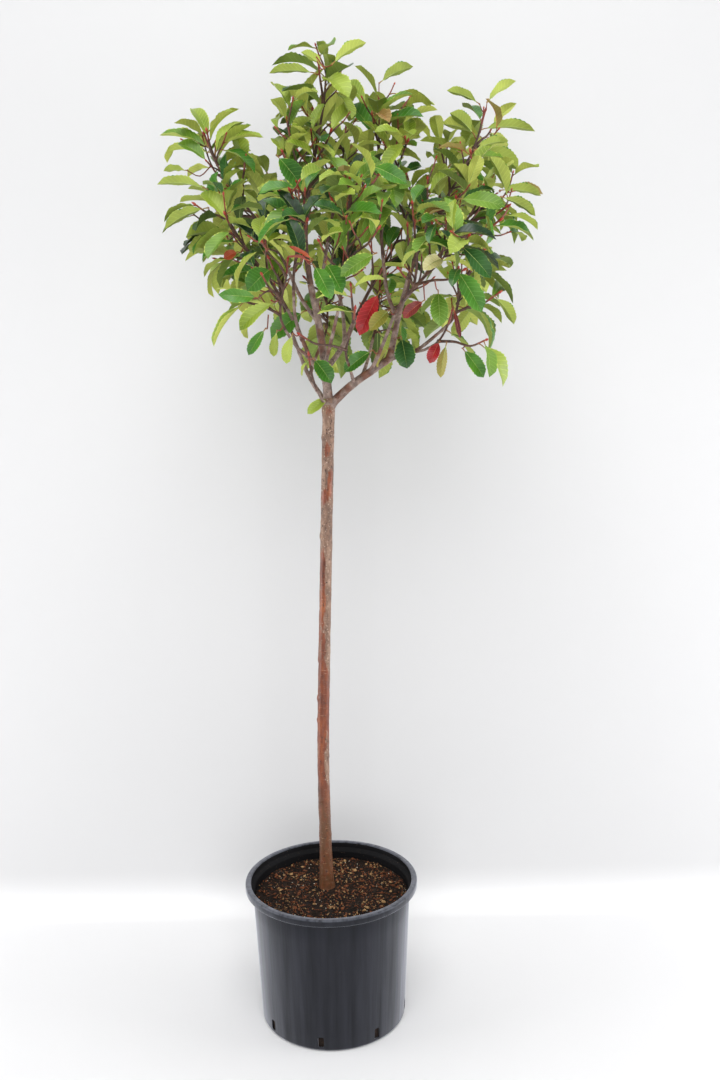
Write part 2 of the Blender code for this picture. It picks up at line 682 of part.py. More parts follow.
def grow_plant():
    # limbs, twigs and leaves as plain shapes, before any of them becomes an object
    limbs = {"trunk": trunk_limb()}
    for name, (_, points, start_radius, tip_radius) in BOUGHS.items():
        limbs[name] = bough_limb(points, start_radius, tip_radius)
    spines = {name: lead_path(limbs[bough], tip) for name, (bough, tip, _, _) in FOLIAGE.items()}
    spaces = space_table(spines)
    table = limb_table(limbs)
    grown = {}
    for name, (_, _, long_tips, side_count) in FOLIAGE.items():
        grown[name] = grow_foliage(name, spines[name], spaces, table, long_tips, side_count)
    return limbs, grown


def main():
    clear_scene()
    black_plastic = new_material("black_plastic", (0.022, 0.023, 0.027), 0.42)
    compost = new_material("compost", (0.075, 0.045, 0.028), 0.95)
    bark = new_material("bark", (0.27, 0.16, 0.11), 0.65)
    green_leaf = new_material("green_leaf", (0.13, 0.21, 0.035), 0.40)

    make_pot(black_plastic)
    make_soil(compost)
    limbs, grown = grow_plant()
    made = []
    for name, limb in limbs.items():
        obj = new_object(name, *tube(limb["path"], limb["radii"], limb["sides"]), bark)
        for other in made:
            near = segment_distances(limb["path"], *limb_table({other: limbs[other]})[:2]).min()
            if near < limb["radii"][0] + max(limbs[other]["radii"]) + 2 * SEAT_GAP:
                cut_away(obj, new_object("cutter", *grown_tube(limbs[other])))
        keep_main_body(obj)
        made.append(name)
    for name, (twigs, leaves) in grown.items():
        make_foliage(name, twigs, leaves, green_leaf)


main()
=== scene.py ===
import math
import random

import bpy
import numpy as np
from mathutils import Matrix, Vector, noise
from mathutils.bvhtree import BVHTree


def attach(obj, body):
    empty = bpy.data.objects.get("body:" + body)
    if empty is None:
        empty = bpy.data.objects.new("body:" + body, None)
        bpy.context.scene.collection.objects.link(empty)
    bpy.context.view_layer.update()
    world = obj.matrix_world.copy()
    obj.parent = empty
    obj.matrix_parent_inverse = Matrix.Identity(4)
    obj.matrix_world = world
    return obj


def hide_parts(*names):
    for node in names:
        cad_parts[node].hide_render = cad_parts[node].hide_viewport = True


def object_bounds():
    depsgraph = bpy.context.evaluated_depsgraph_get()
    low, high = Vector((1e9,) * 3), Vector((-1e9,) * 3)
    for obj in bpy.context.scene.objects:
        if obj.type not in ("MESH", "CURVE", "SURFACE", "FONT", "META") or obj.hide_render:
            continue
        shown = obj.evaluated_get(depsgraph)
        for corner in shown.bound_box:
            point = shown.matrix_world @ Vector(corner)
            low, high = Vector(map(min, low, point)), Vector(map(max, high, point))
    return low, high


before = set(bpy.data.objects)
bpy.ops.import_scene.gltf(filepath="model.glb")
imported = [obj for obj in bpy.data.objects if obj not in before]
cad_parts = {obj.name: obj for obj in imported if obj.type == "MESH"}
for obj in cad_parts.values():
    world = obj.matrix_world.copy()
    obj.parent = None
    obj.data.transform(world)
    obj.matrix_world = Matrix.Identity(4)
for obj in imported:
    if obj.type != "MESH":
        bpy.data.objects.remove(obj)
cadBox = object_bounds()
print("frame loaded", len(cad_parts), "nodes")

seatGap = 0.0003
goldenTurn = math.radians(137.5)


# small helpers

def deselectAll():
    if bpy.context.mode != "OBJECT":
        bpy.ops.object.mode_set(mode="OBJECT")
    bpy.ops.object.select_all(action="DESELECT")


def pickOnly(piece):
    deselectAll()
    piece.select_set(True)
    bpy.context.view_layer.objects.active = piece


def joinPieces(pieces):
    # into the first of them
    deselectAll()
    for piece in pieces:
        piece.select_set(True)
    bpy.context.view_layer.objects.active = pieces[0]
    bpy.ops.object.join()


def applyModifiers(piece):
    pickOnly(piece)
    for modifier in list(piece.modifiers):
        bpy.ops.object.modifier_apply(modifier=modifier.name)


def settle(piece, name):
    # place, turn and scale go into the mesh, so the object itself sits at the origin
    pickOnly(piece)
    bpy.ops.object.transform_apply(location=True, rotation=True, scale=True)
    piece.name = name
    piece.data.name = name
    return piece


def pieceFromArrays(name, points, faces, materials, faceMaterial=None, sharpAngle=50):
    mesh = bpy.data.meshes.new(name)
    mesh.from_pydata([tuple(p) for p in points], [], [tuple(f) for f in faces])
    piece = bpy.data.objects.new(name, mesh)
    bpy.context.scene.collection.objects.link(piece)
    for material in materials:
        mesh.materials.append(material)
    if faceMaterial is not None:
        mesh.polygons.foreach_set("material_index", faceMaterial)
    mesh.shade_smooth()
    mesh.set_sharp_from_angle(angle=math.radians(sharpAngle))
    mesh.update()
    return piece


def meshPoints(piece):
    points = np.empty(len(piece.data.vertices) * 3)
    piece.data.vertices.foreach_get("co", points)
    return points.reshape(-1, 3)


def setPoints(piece, points):
    piece.data.vertices.foreach_set("co", np.asarray(points, float).ravel())
    piece.data.update()


def declare(piece, slot, *nodes):
    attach(piece, "root")
    if nodes:
        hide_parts(*nodes)


# materials

def photoColour(red, green, blue):
    # 0 to 255 screen values to the linear values that shaders use
    def linear(value):
        value = value / 255
        return value / 12.92 if value <= 0.04045 else ((value + 0.055) / 1.055) ** 2.4
    return (linear(red), linear(green), linear(blue), 1.0)


class Finish:
    # a Principled material with a few procedural layers on Object coordinates
    def __init__(self, name, roughness, specular=0.5):
        self.material = bpy.data.materials.new(name)
        self.material.use_nodes = True
        self.tree = self.material.node_tree
        self.shader = self.tree.nodes["Principled BSDF"]
        self.shader.inputs["Roughness"].default_value = roughness
        self.shader.inputs["Specular IOR Level"].default_value = specular
        self.place = self.tree.nodes.new("ShaderNodeTexCoord").outputs["Object"]

    def link(self, out, into):
        self.tree.links.new(out, into)

    def mapped(self, scale):
        node = self.tree.nodes.new("ShaderNodeMapping")
        node.inputs["Scale"].default_value = scale
        self.link(self.place, node.inputs["Vector"])
        return node.outputs["Vector"]

    def noise(self, scale, detail=4.0, rough=0.55, stretch=None, distortion=0.0):
        node = self.tree.nodes.new("ShaderNodeTexNoise")
        node.inputs["Scale"].default_value = scale
        node.inputs["Detail"].default_value = detail
        node.inputs["Roughness"].default_value = rough
        node.inputs["Distortion"].default_value = distortion
        self.link(self.mapped(stretch) if stretch else self.place, node.inputs["Vector"])
        return node.outputs["Fac"]

    def ramp(self, factor, stops):
        node = self.tree.nodes.new("ShaderNodeValToRGB")
        bands = node.color_ramp.elements
        while len(bands) < len(stops):
            bands.new(0.5)
        for band, (spot, colour) in zip(bands, stops):
            band.position = spot
            band.color = colour
        self.link(factor, node.inputs["Fac"])
        return node.outputs["Color"]

    def mask(self, factor, low, high):
        node = self.tree.nodes.new("ShaderNodeMapRange")
        node.interpolation_type = "SMOOTHSTEP"
        node.inputs["From Min"].default_value = low
        node.inputs["From Max"].default_value = high
        self.link(factor, node.inputs["Value"])
        return node.outputs["Result"]

    def height(self):
        node = self.tree.nodes.new("ShaderNodeSeparateXYZ")
        self.link(self.place, node.inputs["Vector"])
        return node.outputs["Z"]

    def sums(self, kind, a, b):
        node = self.tree.nodes.new("ShaderNodeMath")
        node.operation = kind
        for socket, value in zip(node.inputs, (a, b)):
            if isinstance(value, (int, float)):
                socket.default_value = value
            else:
                self.link(value, socket)
        return node.outputs["Value"]

    def mix(self, factor, a, b, kind="MIX"):
        node = self.tree.nodes.new("ShaderNodeMix")
        node.data_type = "RGBA"
        node.blend_type = kind
        for socket, value in ((node.inputs[0], factor), (node.inputs[6], a), (node.inputs[7], b)):
            if isinstance(value, (int, float, tuple)):
                socket.default_value = value
            else:
                self.link(value, socket)
        return node.outputs[2]

    def colour(self, socket):
        self.link(socket, self.shader.inputs["Base Color"])

    def roughness(self, factor, low, high):
        node = self.tree.nodes.new("ShaderNodeMapRange")
        node.inputs["To Min"].default_value = low
        node.inputs["To Max"].default_value = high
        self.link(factor, node.inputs["Value"])
        self.link(node.outputs["Result"], self.shader.inputs["Roughness"])

    def bump(self, factor, distance, strength=0.5):
        node = self.tree.nodes.new("ShaderNodeBump")
        node.inputs["Strength"].default_value = strength
        node.inputs["Distance"].default_value = distance
        self.link(factor, node.inputs["Height"])
        last = self.shader.inputs["Normal"]
        if last.is_linked:
            self.link(last.links[0].from_socket, node.inputs["Normal"])
        self.link(node.outputs["Normal"], last)


def blackPlastic():
    # moulded black plastic: fine flow marks down the wall, a little dust, and a rim top painted lighter grey
    # in patches, partly real scuffs and partly painted highlight
    finish = Finish("blackPlastic", 0.4, 0.26)
    finish.shader.inputs["Specular Tint"].default_value = (0.88, 0.91, 1.0, 1.0)
    flow = finish.noise(1.0, 3.0, 0.6, stretch=(70, 70, 2.2))
    dust = finish.noise(38.0, 6.0, 0.7)
    base = finish.ramp(flow, [(0.3, photoColour(6, 7, 12)), (0.7, photoColour(15, 16, 25))])
    # the top of the rim is painted lighter grey in patches: partly real scuffs, partly painted highlight of
    # the light falling on it
    rimTop = finish.mask(finish.height(), pot["height"] - 0.0040, pot["height"] - 0.0008)
    scuffsAndPaintedHighlight = finish.sums("MULTIPLY", rimTop, finish.mask(finish.noise(120.0, 4.0), 0.25, 0.60))
    base = finish.mix(scuffsAndPaintedHighlight, base, photoColour(74, 76, 84))
    finish.link(finish.mask(flow, -0.10, 0.98), finish.shader.inputs["Sheen Weight"])
    finish.shader.inputs["Sheen Roughness"].default_value = 0.42
    finish.shader.inputs["Sheen Tint"].default_value = (0.86, 0.89, 1.0, 1.0)
    dusty = finish.mask(dust, 0.60, 0.78)
    low = finish.mask(finish.height(), 0.05, 0.0)
    worn = finish.sums("MULTIPLY", dusty, finish.sums("ADD", finish.sums("MULTIPLY", low, 0.3), 0.08))
    finish.colour(finish.mix(worn, base, photoColour(92, 86, 82)))
    finish.roughness(flow, 0.20, 0.52)
    finish.bump(flow, 0.0010, 0.3)
    finish.bump(finish.noise(900.0, 2.0), 0.0002, 0.25)
    return finish.material


def insidePlastic():
    # the inner wall above the compost is dull and dark, with a dusting of soil
    finish = Finish("insidePlastic", 0.65, 0.15)
    dust = finish.mask(finish.noise(260.0, 5.0, 0.7), 0.60, 0.70)
    finish.colour(finish.mix(dust, photoColour(9, 9, 12), photoColour(66, 54, 46)))
    return finish.material


def compostGround():
    finish = Finish("compostGround", 0.92, 0.3)
    grain = finish.noise(140.0, 8.0, 0.7)
    patch = finish.noise(22.0, 4.0)
    dark = finish.ramp(grain, [(0.30, photoColour(14, 10, 7)), (0.52, photoColour(36, 24, 17)),
                               (0.72, photoColour(66, 47, 32))])
    finish.colour(finish.mix(finish.mask(patch, 0.45, 0.7), dark, photoColour(40, 27, 20), "MULTIPLY"))
    finish.bump(grain, 0.002, 0.8)
    return finish.material


def chipFinish(name, deep, pale, roughness=0.85):
    finish = Finish(name, roughness, 0.3)
    fibre = finish.noise(170.0, 5.0, 0.65)
    finish.colour(finish.ramp(fibre, [(0.3, photoColour(*deep)), (0.7, photoColour(*pale))]))
    finish.bump(fibre, 0.0008, 0.6)
    return finish.material


def stemBark():
    # smooth young bark: red-brown low down and in patches above, grey-mauve higher up
    finish = Finish("stemBark", 0.5)
    red = finish.ramp(finish.noise(60.0, 6.0, 0.6, stretch=(1, 1, 0.35)),
                      [(0.28, photoColour(58, 24, 12)), (0.5, photoColour(112, 52, 24)),
                       (0.74, photoColour(148, 82, 42))])
    grey = finish.ramp(finish.noise(75.0, 6.0, 0.65, stretch=(1, 1, 0.4)),
                       [(0.28, photoColour(76, 56, 46)), (0.52, photoColour(122, 93, 76)),
                        (0.76, photoColour(168, 141, 122))])
    stain = finish.tree.nodes.new("ShaderNodeAttribute")
    stain.attribute_name = "stain"
    rough = finish.noise(105.0, 5.0, 0.65, stretch=(1.4, 1.4, 0.6), distortion=0.8)
    ragged = finish.sums("ADD", stain.outputs["Fac"], finish.sums("MULTIPLY", rough, 1.9))
    share = finish.mask(ragged, 1.50, 1.30)
    base = finish.mix(share, red, grey)
    foot = finish.mask(finish.height(), 0.45, 0.36)
    low = finish.sums("MULTIPLY", foot, finish.mask(rough, 0.2, 0.6))
    base = finish.mix(low, base, photoColour(92, 60, 36))
    flakes = finish.mask(finish.noise(380.0, 3.0, 0.6), 0.60, 0.68)
    base = finish.mix(finish.sums("MULTIPLY", flakes, share), base, photoColour(190, 170, 154))
    marks = finish.noise(1.0, 4.0, 0.7, stretch=(90, 90, 700))
    finish.colour(finish.mix(finish.mask(marks, 0.60, 0.72), base, photoColour(178, 140, 112)))
    specks = finish.mask(finish.noise(260.0, 3.0, 0.6, stretch=(1, 1, 0.6)), 0.60, 0.68)
    finish.colour(finish.mix(specks, finish.shader.inputs["Base Color"].links[0].from_socket,
                             photoColour(58, 34, 26)))
    finish.roughness(share, 0.38, 0.62)
    finish.bump(marks, 0.0006, 0.5)
    finish.bump(finish.noise(420.0, 5.0, 0.6), 0.0005, 0.4)
    return finish.material


def boughBark():
    finish = Finish("boughBark", 0.6)
    tone = finish.noise(90.0, 6.0, 0.65)
    grey = finish.ramp(tone, [(0.28, photoColour(70, 54, 48)), (0.5, photoColour(122, 102, 93)),
                              (0.74, photoColour(168, 148, 138))])
    brown = finish.ramp(tone, [(0.3, photoColour(74, 42, 30)), (0.7, photoColour(126, 82, 62))])
    base = finish.mix(finish.mask(finish.noise(30.0, 3.0), 0.52, 0.64), grey, brown)
    specks = finish.mask(finish.noise(240.0, 3.0, 0.6), 0.60, 0.70)
    finish.colour(finish.mix(specks, base, photoColour(46, 30, 26)))
    finish.bump(tone, 0.0006, 0.6)
    finish.bump(finish.noise(480.0, 4.0), 0.0004, 0.4)
    return finish.material


# shoots, stalks, ribs and buds: deep, middle and pale screen colours, and the roughness
twigColours = {
    "woodyShoot": ((42, 27, 22), (76, 48, 37), (114, 84, 66), 0.6),
    "youngShoot": ((84, 30, 24), (122, 48, 35), (136, 80, 52), 0.45),
    "leafStalk": ((128, 62, 38), (140, 104, 52), (150, 140, 70), 0.45),
    "leafRib": ((128, 150, 66), (148, 168, 84), (172, 188, 108), 0.45),
    "redLeafRib": ((150, 60, 44), (186, 92, 66), (206, 130, 96), 0.45),
    "tipBud": ((118, 28, 22), (158, 46, 34), (176, 84, 56), 0.4),
    "sideBud": ((120, 60, 34), (150, 92, 50), (160, 130, 70), 0.5),
}


def twigFinish(name):
    *screen, roughness = twigColours[name]
    deep, middle, pale = (photoColour(*colour) for colour in screen)
    finish = Finish(name, roughness)
    tone = finish.noise(110.0, 5.0, 0.6)
    finish.colour(finish.ramp(tone, [(0.3, deep), (0.5, middle), (0.72, pale)]))
    finish.bump(tone, 0.0004, 0.5)
    return finish.material


def leafFinish(name, deep, middle, pale, roughness, veinShare, grain=0.35):
    # leathery leaf: the green drifts slowly through the crown, side veins and the margin are paler
    finish = Finish(name, roughness, 0.48)
    base = finish.ramp(finish.noise(17.0, 2.0, 0.5), [(0.34, deep), (0.5, middle), (0.66, pale)])
    mottle = finish.noise(150.0, 4.0, 0.6)
    base = finish.mix(finish.sums("MULTIPLY", finish.mask(mottle, 0.45, 0.75), 0.22), base, pale)
    spread = finish.tree.nodes.new("ShaderNodeUVMap")
    spread.uv_map = "leafSpread"
    parts = finish.tree.nodes.new("ShaderNodeSeparateXYZ")
    finish.link(spread.outputs["UV"], parts.inputs["Vector"])
    side = finish.sums("ABSOLUTE", finish.sums("SUBTRACT", parts.outputs["X"], 0.5), 0)
    slant = finish.sums("SUBTRACT", finish.sums("MULTIPLY", parts.outputs["Y"], 9.0),
                        finish.sums("MULTIPLY", side, 3.4))
    line = finish.sums("ABSOLUTE", finish.sums("SUBTRACT", finish.sums("FRACT", slant, 0), 0.5), 0)
    vein = finish.mask(line, 0.085, 0.0)
    margin = finish.mask(side, 0.465, 0.505)
    finish.colour(finish.mix(finish.sums("MULTIPLY", finish.sums("MAXIMUM", vein, margin), veinShare),
                             base, tuple(min(1.0, 1.75 * c + 0.02) for c in pale[:3]) + (1.0,)))
    finish.roughness(mottle, roughness - 0.06, roughness + 0.14)
    finish.bump(vein, 0.0006, 0.4)
    finish.bump(finish.noise(520.0, 4.0, 0.6), 0.0005, grain)
    return finish.material


print("helpers ready")


# camera and stage

view = {
    "eye": (0.06165, -1.77476, 1.14854),
    "lens": 35.215,
    "sensor": 36,
    "pitch": math.radians(9.0757),
    "roll": math.radians(-0.98),
}
eye = Vector(view["eye"])
fromCamera = (Matrix.Translation(eye) @ Matrix.Rotation(math.pi / 2 - view["pitch"], 4, "X")
              @ Matrix.Rotation(view["roll"], 4, "Z"))


def addCamera():
    camera = bpy.data.cameras.new("camera")
    camera.lens = view["lens"]
    camera.sensor_width = view["sensor"]
    holder = bpy.data.objects.new("camera", camera)
    bpy.context.scene.collection.objects.link(holder)
    holder.matrix_world = fromCamera
    bpy.context.scene.camera = holder


stage = {
    "floorColour": photoColour(230, 230, 231),
    "wallColourWithPaintedShade": photoColour(205, 205, 206),
    "wallDistance": 0.36,
    "halfWidth": 4.0,
    "front": -4.5,
    "wallHeight": 3.4,
    "cornerRadius": 0.05,
}


def addStage():
    # one pale sheet: floor, a small rounded corner, and the wall behind; the wall is painted darker than the
    # floor as painted shade
    deselectAll()
    wide, back, corner = stage["halfWidth"], stage["wallDistance"], stage["cornerRadius"]
    bpy.ops.mesh.primitive_plane_add(size=1, location=(0, (stage["front"] + back) / 2, 0))
    sheet = bpy.context.object
    sheet.scale = (2 * wide, back - stage["front"], 1)
    settle(sheet, "studioSheet")
    bpy.ops.object.mode_set(mode="EDIT")
    bpy.ops.mesh.select_mode(type="EDGE")
    bpy.ops.mesh.select_all(action="DESELECT")
    bpy.ops.object.mode_set(mode="OBJECT")
    for edge in sheet.data.edges:
        edge.select = all(sheet.data.vertices[v].co.y > back - 1e-4 for v in edge.vertices)
    bpy.ops.object.mode_set(mode="EDIT")
    bpy.ops.mesh.extrude_region_move(TRANSFORM_OT_translate={"value": (0, 0, stage["wallHeight"])})
    bpy.ops.object.mode_set(mode="OBJECT")
    for edge in sheet.data.edges:
        a, b = (sheet.data.vertices[v].co for v in edge.vertices)
        edge.select = max(a.z, b.z) < 1e-4 and min(a.y, b.y) > back - 1e-4
    bpy.ops.object.mode_set(mode="EDIT")
    bpy.ops.mesh.bevel(offset=corner, segments=8, affect="EDGES")
    bpy.ops.object.mode_set(mode="OBJECT")
    bpy.ops.object.shade_smooth()
    finish = Finish("studioSheet", 0.75, 0.2)
    # up the corner the sheet blends from the floor colour to the darker wall colour, which is painted shade
    rising = finish.mask(finish.height(), 0.0, 0.10)
    finish.colour(finish.mix(rising, stage["floorColour"], stage["wallColourWithPaintedShade"]))
    sheet.data.materials.append(finish.material)


lamps = {
    "left": {"at": (-2.3, -0.2, 0.7), "size": 1.5, "watts": 38},
    "right": {"at": (2.3, -0.2, 0.7), "size": 1.5, "watts": 41},
    "top": {"at": (0.0, -1.5, 3.0), "size": 1.8, "watts": 46},
    "front": {"at": (0.2, -3.4, 0.9), "size": 2.2, "watts": 54},
}


def addLamps():
    for name, lamp in lamps.items():
        light = bpy.data.lights.new(name, "AREA")
        light.size = lamp["size"]
        light.energy = lamp["watts"]
        holder = bpy.data.objects.new(name, light)
        holder.location = lamp["at"]
        aim = Vector((0.0, 0.0, 0.9)) - Vector(lamp["at"])
        holder.rotation_euler = aim.to_track_quat("-Z", "Y").to_euler()
        bpy.context.scene.collection.objects.link(holder)
    world = bpy.data.worlds.new("studio")
    world.use_nodes = True
    world.node_tree.nodes["Background"].inputs["Color"].default_value = (1.0, 1.0, 1.0, 1.0)
    world.node_tree.nodes["Background"].inputs["Strength"].default_value = 0.31
    bpy.context.scene.world = world
    bpy.context.scene.view_settings.view_transform = "Standard"


addCamera()
addStage()
addLamps()
print("camera, stage and lamps placed")


# pot

pot = {
    "height": 0.2544,
    "baseRadius": 0.1288,
    "neckRadius": 0.1402,
    "rimRadius": 0.1534,
    "rimDepth": 0.0130,
    "lipRadius": 0.1435,
    "wall": 0.0024,
    "corner": 0.0060,
    "turns": 180,
    "slots": 8,
    "slotWidth": 0.010,
    "slotLow": 0.008,
    "slotHigh": 0.027,
    "slotAngle": math.radians(-53.7),
}


def wallRadius(height):
    share = height / (pot["height"] - pot["rimDepth"])
    return pot["baseRadius"] + (pot["neckRadius"] - pot["baseRadius"]) * share


def arcPoints(centre, radius, fromDegrees, toDegrees, count):
    points = []
    for i in range(count + 1):
        angle = math.radians(fromDegrees + (toDegrees - fromDegrees) * i / count)
        points.append((centre[0] + radius * math.cos(angle), centre[1] + radius * math.sin(angle)))
    return points


def turnOutline(name, outline, turns):
    # the outline is drawn as a chain of points in the XZ plane and spun round Z
    deselectAll()
    first = outline[0]
    bpy.ops.mesh.primitive_plane_add(size=0.001, location=(first[0], 0, first[1]))
    piece = bpy.context.object
    settle(piece, name)
    bpy.ops.object.mode_set(mode="EDIT")
    bpy.ops.mesh.select_mode(type="VERT")
    bpy.ops.mesh.select_all(action="SELECT")
    bpy.ops.mesh.merge(type="CENTER")
    for here, there in zip(outline, outline[1:]):
        step = (there[0] - here[0], 0, there[1] - here[1])
        bpy.ops.mesh.extrude_region_move(TRANSFORM_OT_translate={"value": step})
    bpy.ops.mesh.select_all(action="SELECT")
    bpy.ops.mesh.spin(steps=turns, angle=2 * math.pi, center=(0, 0, 0), axis=(0, 0, 1))
    bpy.ops.mesh.select_all(action="SELECT")
    bpy.ops.mesh.remove_doubles(threshold=0.00002)
    bpy.ops.mesh.normals_make_consistent(inside=False)
    bpy.ops.object.mode_set(mode="OBJECT")
    return piece


def potOutline():
    rimLow = pot["height"] - pot["rimDepth"]
    rim, lip, top, wall, corner = (pot[k] for k in ("rimRadius", "lipRadius", "height", "wall", "corner"))
    outline = [(0.0, 0.0), (0.052, 0.0), (0.0525, 0.0006), (0.0565, 0.0006), (0.057, 0.0),
               (pot["baseRadius"] - corner, 0.0)]
    outline += arcPoints((wallRadius(corner) - corner, corner), corner, -75, 0, 5)
    for k in range(1, 9):
        height = corner + (rimLow - 0.012 - corner) * k / 8
        outline.append((wallRadius(height), height))
    # a shallow groove and a bead lie just under the rolled rim
    outline += [(wallRadius(rimLow - 0.011) - 0.0004, rimLow - 0.0105),
                (wallRadius(rimLow) - 0.0004, rimLow - 0.0035),
                (wallRadius(rimLow) + 0.0008, rimLow - 0.0012)]
    outline += arcPoints((rim - 0.0022, rimLow + 0.0026), 0.0022, -90, -10, 4)
    outline += arcPoints((rim - 0.0030, top - 0.0030), 0.0030, 5, 90, 5)
    outline += arcPoints((lip + 0.0022, top - 0.0022), 0.0022, 90, 175, 4)
    outline += [(lip - 0.0004, top - 0.0100), (wallRadius(rimLow) - wall, rimLow - 0.004)]
    for k in range(1, 7):
        height = rimLow - 0.004 + (corner - rimLow + 0.004) * k / 6
        outline.append((wallRadius(height) - wall, height))
    outline += [(pot["baseRadius"] - corner, wall), (0.0, wall)]
    return outline


def makePot():
    piece = turnOutline("nurseryPot", potOutline(), pot["turns"])
    height = pot["slotHigh"] - pot["slotLow"]
    bpy.ops.mesh.primitive_cube_add(size=1, location=(pot["baseRadius"], 0, pot["slotLow"] + height / 2))
    slot = bpy.context.object
    slot.scale = (4 * pot["corner"], pot["slotWidth"], height)
    settle(slot, "slotCutter")
    bpy.ops.object.mode_set(mode="EDIT")
    bpy.ops.mesh.select_all(action="SELECT")
    bpy.ops.mesh.bevel(offset=0.0022, segments=3, affect="EDGES")
    bpy.ops.object.mode_set(mode="OBJECT")
    cutters = []
    for k in range(pot["slots"]):
        cutter = slot.copy()
        cutter.data = slot.data.copy()
        bpy.context.scene.collection.objects.link(cutter)
        cutter.data.transform(Matrix.Rotation(pot["slotAngle"] + 2 * math.pi * k / pot["slots"], 4, "Z"))
        cutters.append(cutter)
    bpy.data.objects.remove(slot, do_unlink=True)
    joinPieces(cutters)
    cut = piece.modifiers.new("slots", "BOOLEAN")
    cut.operation = "DIFFERENCE"
    cut.object = cutters[0]
    applyModifiers(piece)
    bpy.data.objects.remove(cutters[0], do_unlink=True)
    bpy.ops.object.shade_smooth_by_angle(angle=math.radians(32))
    piece.data.materials.append(blackPlastic())
    piece.data.materials.append(insidePlastic())
    for face in piece.data.polygons:
        inward = face.normal.x * face.center.x + face.normal.y * face.center.y < -0.2 * pot["rimRadius"]
        if inward and face.center.z < pot["height"] - 0.0022:
            face.material_index = 1
    declare(piece, "black_plastic", "pot")


makePot()
print("pot turned and slotted")


# compost

soil = {
    "top": 0.2295,
    "edgeDrop": 0.0040,
    "relief": 0.0030,
    "flatRadius": 0.020,
    "foot": (-0.0088, 0.0142),
    "rings": 46,
    "turns": 288,
    "chips": 900,
    "crumbs": 6400,
    "perlite": 110,
    "fibres": 90,
    "lumps": 26,
    "footClear": 0.0132,
}


def soilHeight(x, y):
    away = math.hypot(x - soil["foot"][0], y - soil["foot"][1])
    blend = min(1.0, max(0.0, (away - soil["flatRadius"]) / 0.02))
    bumps = noise.noise(Vector((x * 28, y * 28, 0.3))) * soil["relief"]
    edge = soil["edgeDrop"] * (math.hypot(x, y) / pot["neckRadius"]) ** 2
    fine = noise.fractal(Vector((x * 150, y * 150, 2.0)), 0.8, 2.0, 4) * 0.0009
    return soil["top"] - 0.0006 + blend * (bumps - edge) + fine * (0.35 + 0.65 * blend)


def makeCompost():
    # the top is a disc drawn inwards ring by ring, then lifted into lumps
    floor = pot["wall"] + seatGap
    topRadius = wallRadius(soil["top"]) - pot["wall"] - 2 * seatGap
    start = pot["baseRadius"] - pot["corner"] - seatGap
    deselectAll()
    bpy.ops.mesh.primitive_circle_add(vertices=soil["turns"], radius=start, fill_type="NGON",
                                      location=(0, 0, floor))
    piece = settle(bpy.context.object, "compost")
    bpy.ops.object.mode_set(mode="EDIT")
    bpy.ops.mesh.select_all(action="SELECT")
    lower = wallRadius(pot["corner"]) - pot["wall"] - 2 * seatGap
    for radius, rise in ((lower, pot["corner"] - floor), (topRadius, soil["top"] - pot["corner"])):
        bpy.ops.mesh.extrude_region_move(TRANSFORM_OT_translate={"value": (0, 0, rise)})
        bpy.ops.transform.resize(value=(radius / start, radius / start, 1), center_override=(0, 0, 0))
        start = radius
    for k in range(soil["rings"]):
        bpy.ops.mesh.inset(thickness=topRadius / (soil["rings"] + 1), depth=0)
    bpy.ops.mesh.select_all(action="SELECT")
    bpy.ops.mesh.normals_make_consistent(inside=False)
    bpy.ops.object.mode_set(mode="OBJECT")
    points = meshPoints(piece)
    for point in points:
        if point[2] > soil["top"] - 0.001:
            point[2] = soilHeight(point[0], point[1])
    setPoints(piece, points)
    bpy.ops.object.shade_smooth()
    piece.data.materials.append(compostGround())
    declare(piece, "compost", "soil")
    return topRadius


def lumpPoints(rng, size, roughness):
    # a rough pebble of eight faces, stretched to its length, width and height
    corners = [(1, 0, 0), (-1, 0, 0), (0, 1, 0), (0, -1, 0), (0, 0, 1), (0, 0, -1)]
    points = []
    for corner in corners:
        out = Vector(corner) * rng.uniform(1 - roughness, 1 + roughness)
        out += Vector((rng.uniform(-1, 1), rng.uniform(-1, 1), rng.uniform(-1, 1))) * roughness * 0.5
        points.append(Vector((out.x * size[0], out.y * size[1], out.z * size[2])))
    return points


lumpFaces = [(0, 2, 4), (2, 1, 4), (1, 3, 4), (3, 0, 4), (2, 0, 5), (1, 2, 5), (3, 1, 5), (0, 3, 5)]


def scatterLumps(name, material, slot, rng, count, sizes, lift, roughness=0.3, tilt=0.5, subdivide=0,
                 clusters=None):
    points, faces = [], []
    reach = wallRadius(soil["top"]) - pot["wall"]
    for _ in range(count):
        long = rng.uniform(*sizes["length"])
        wide = long * rng.uniform(*sizes["width"])
        tall = wide * rng.uniform(*sizes["height"])
        angle = rng.uniform(0, 2 * math.pi)
        away = (reach - long * 0.55) * math.sqrt(rng.uniform(0, 1))
        x, y = away * math.cos(angle), away * math.sin(angle)
        if math.hypot(x - soil["foot"][0], y - soil["foot"][1]) < soil["footClear"] + long * 0.4:
            continue
        if clusters is not None:
            # lumps of one colour gather where this noise is high
            gather = noise.noise(Vector((x * 30, y * 30, 5.0)))
            if gather < clusters * rng.uniform(-1, 1):
                continue
        turn = Matrix.Rotation(rng.uniform(0, 2 * math.pi), 3, "Z")
        for axis in "XY":
            turn = turn @ Matrix.Rotation(rng.uniform(-tilt, tilt), 3, axis)
        spot = Vector((x, y, soilHeight(x, y) + tall * lift / 2))
        base = len(points)
        for corner in lumpPoints(rng, (long / 2, wide / 2, tall / 2), roughness):
            points.append(spot + turn @ corner)
        faces += [tuple(base + v for v in face) for face in lumpFaces]
    piece = pieceFromArrays(name, points, faces, [material], sharpAngle=180)
    if subdivide:
        pickOnly(piece)
        smoother = piece.modifiers.new("rounder", "SUBSURF")
        smoother.levels = subdivide
        smoother.render_levels = subdivide
        applyModifiers(piece)
    declare(piece, slot)


